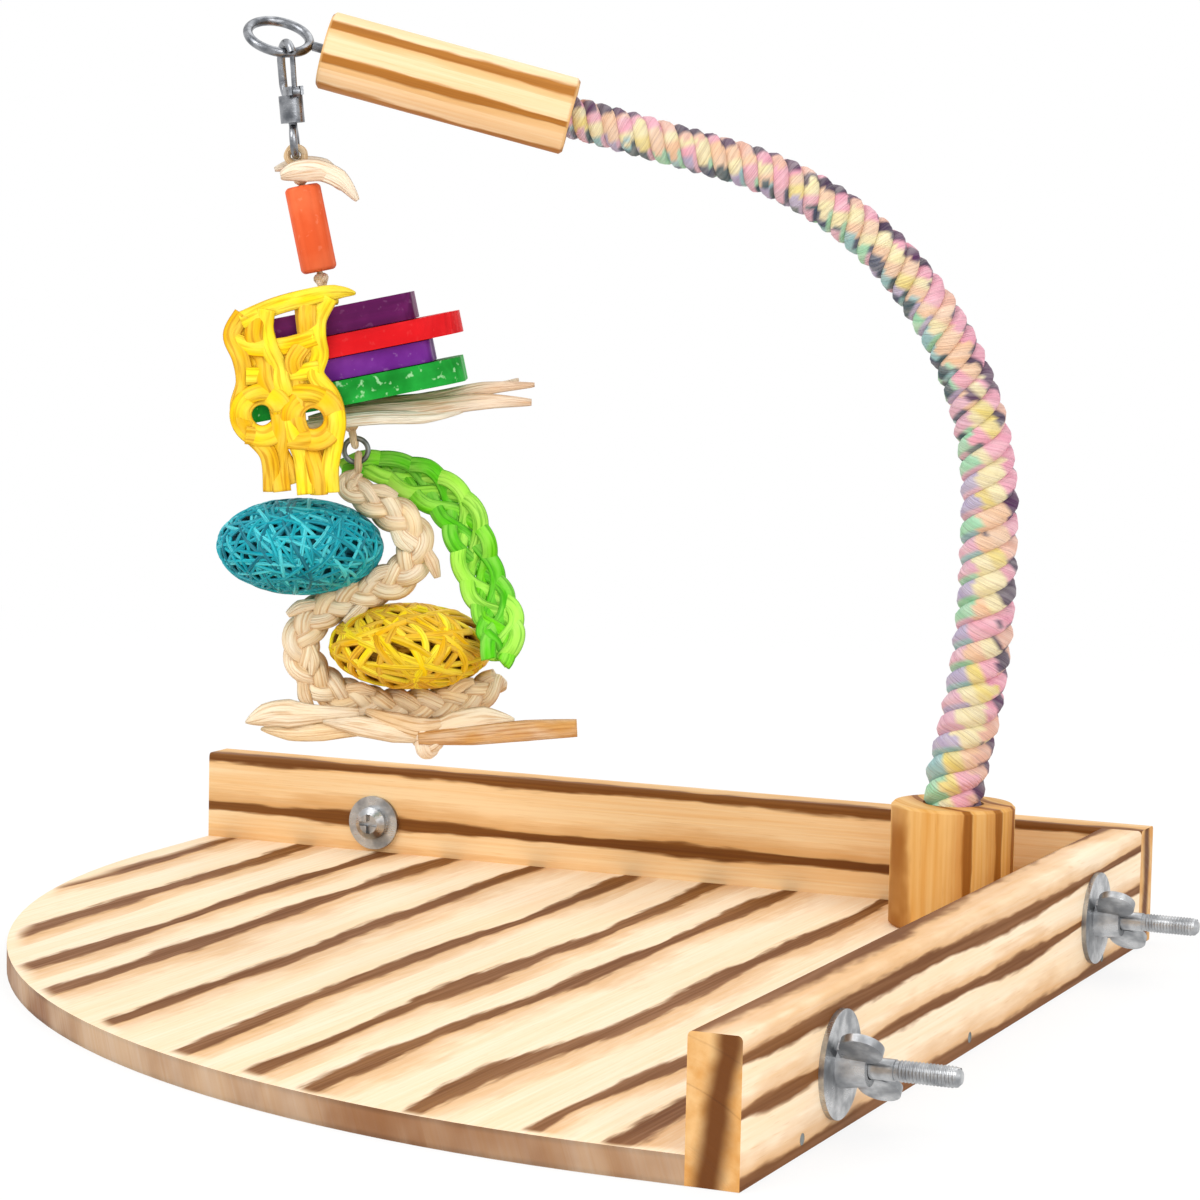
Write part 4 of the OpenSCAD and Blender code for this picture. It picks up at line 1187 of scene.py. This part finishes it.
bow = {
    "seed": 41, "thick": 1.4, "crown": 1.0,
    "leaves": [
        ((1, 8, 10, 6, 3),
         [(-36, -8, -87.6), (-27, -8.6, -84.6), (-15, -8.8, -84.4), (2, -8, -83.6)]),
        ((1, 6.5, 8, 7, 4),
         [(-31, -6.4, -90), (-18, -6.8, -90.4), (-2, -6.8, -88.6), (14, -6.6, -87)]),
        ((2, 7, 7, 3), [(-10, -8.4, -86.5), (2, -9, -88), (14, -8.6, -90), (24, -7, -92)]),
        ((2, 7, 8, 3), [(4, -7.6, -83), (14, -8.6, -86.5), (24, -8.6, -88.5), (34, -8, -86)]),
        ((3, 8, 8.5, 1.2),
         [(24, -7.5, -90), (34, -8.8, -86.4), (44, -8.6, -84.6), (54, -8, -85)]),
    ],
    "knot": (25, -5, -93), "knotSize": 12.5, "knotStrand": 5.4,
    "tail": [(22, -9.6, -91.6), (40, -9.6, -90.2), (58, -9.4, -88.2), (75, -9, -87)],
    "tailWide": (4, 6.6, 7.2, 6), "tailThick": 2.0, "tailCrown": 0.5, "tailStrand": 9,
}
bowBag, bowRng = leafBunch(bow, inLower, -perchDeep, huskTints)
knotLoop(bowBag, inLower(*bow["knot"]), bow["knotSize"] * mm, bow["knotStrand"] * mm, zAxis,
         perchAcross, pickTint(bowRng, pinkTints))
leafStrip(bowBag, [inLower(*p) for p in bow["tail"]], bow["tailWide"], bow["tailThick"],
          -perchDeep, strand=bow["tailStrand"], crown=bow["tailCrown"],
          tint=pickTint(bowRng, tanTints))
makePiece("huskBow", bowBag, huskStuff, "lower_toy", ("husk_bow",))
print("toy dressed")


# studio

studio = {
    "floor": 12.0, "drop": -0.0002, "paper": "#fbfaf9", "white": "#ffffff",
    "world": 0.75, "aim": (0, 0, 0.12),
    "glowNear": 0.84, "glowFar": 1.0, "nearReach": 0.4, "farReach": 1.2,
    # place, size and power
    "lamps": [
        ((-1.1, -1.6, 1.9), 1.6, 28), ((1.7, -1.2, 1.3), 1.6, 19), ((0.1, 1.2, 2.1), 1.8, 10),
    ],
}


def seenDirectly():
    # camera, mirror and see-through rays meet a plain white room
    path = addNode("ShaderNodeLightPath").outputs
    bounced = calc("MAXIMUM", path["Is Glossy Ray"], path["Is Transmission Ray"])
    return calc("MAXIMUM", path["Is Camera Ray"], bounced)


def makeFloor(s):
    bpy.ops.mesh.primitive_plane_add(size=s["floor"], location=(0, 0, s["drop"]))
    floor = bpy.context.object
    floor.name = "studioFloor"
    material, shader = newMaterial("floorPaper", {"Roughness": 0.9})
    place = objectPlace()
    feed(shader, {"Base Color": mix(noise(place, scale=300.0), s["paper"], s["white"])})
    white = addNode("ShaderNodeEmission", {"Color": hexColour(s["white"]), "Strength": 1.0})
    away = vecCalc("LENGTH", place)
    glow = remap(away, s["nearReach"], s["farReach"], s["glowNear"], s["glowFar"])
    sides = {0: times(seenDirectly(), glow), 1: shader.outputs[0], 2: white.outputs[0]}
    blend = addNode("ShaderNodeMixShader", sides)
    feed(material.node_tree.nodes["Material Output"], {"Surface": blend.outputs[0]})
    floor.data.materials.append(material)


def makeLight(s):
    world = bpy.data.worlds.new("studioWorld")
    bpy.context.scene.world = world
    world.use_nodes = True
    opened["tree"] = world.node_tree
    values = {"Value": seenDirectly(), "To Min": s["world"], "To Max": 1.0}
    strength = addNode("ShaderNodeMapRange", values).outputs[0]
    background = world.node_tree.nodes["Background"]
    feed(background, {"Strength": strength, "Color": hexColour(s["white"])})
    for n, (place, size, power) in enumerate(s["lamps"]):
        data = bpy.data.lights.new("softBox%d" % n, "AREA")
        data.size = size
        data.energy = power
        light = addObject("softBox%d" % n, data)
        light.location = place
        aim = Vector(s["aim"]) - light.location
        light.rotation_euler = aim.to_track_quat("-Z", "Y").to_euler()
    bpy.context.scene.view_settings.view_transform = "Standard"


makeFloor(studio)
makeLight(studio)
print("studio lit")
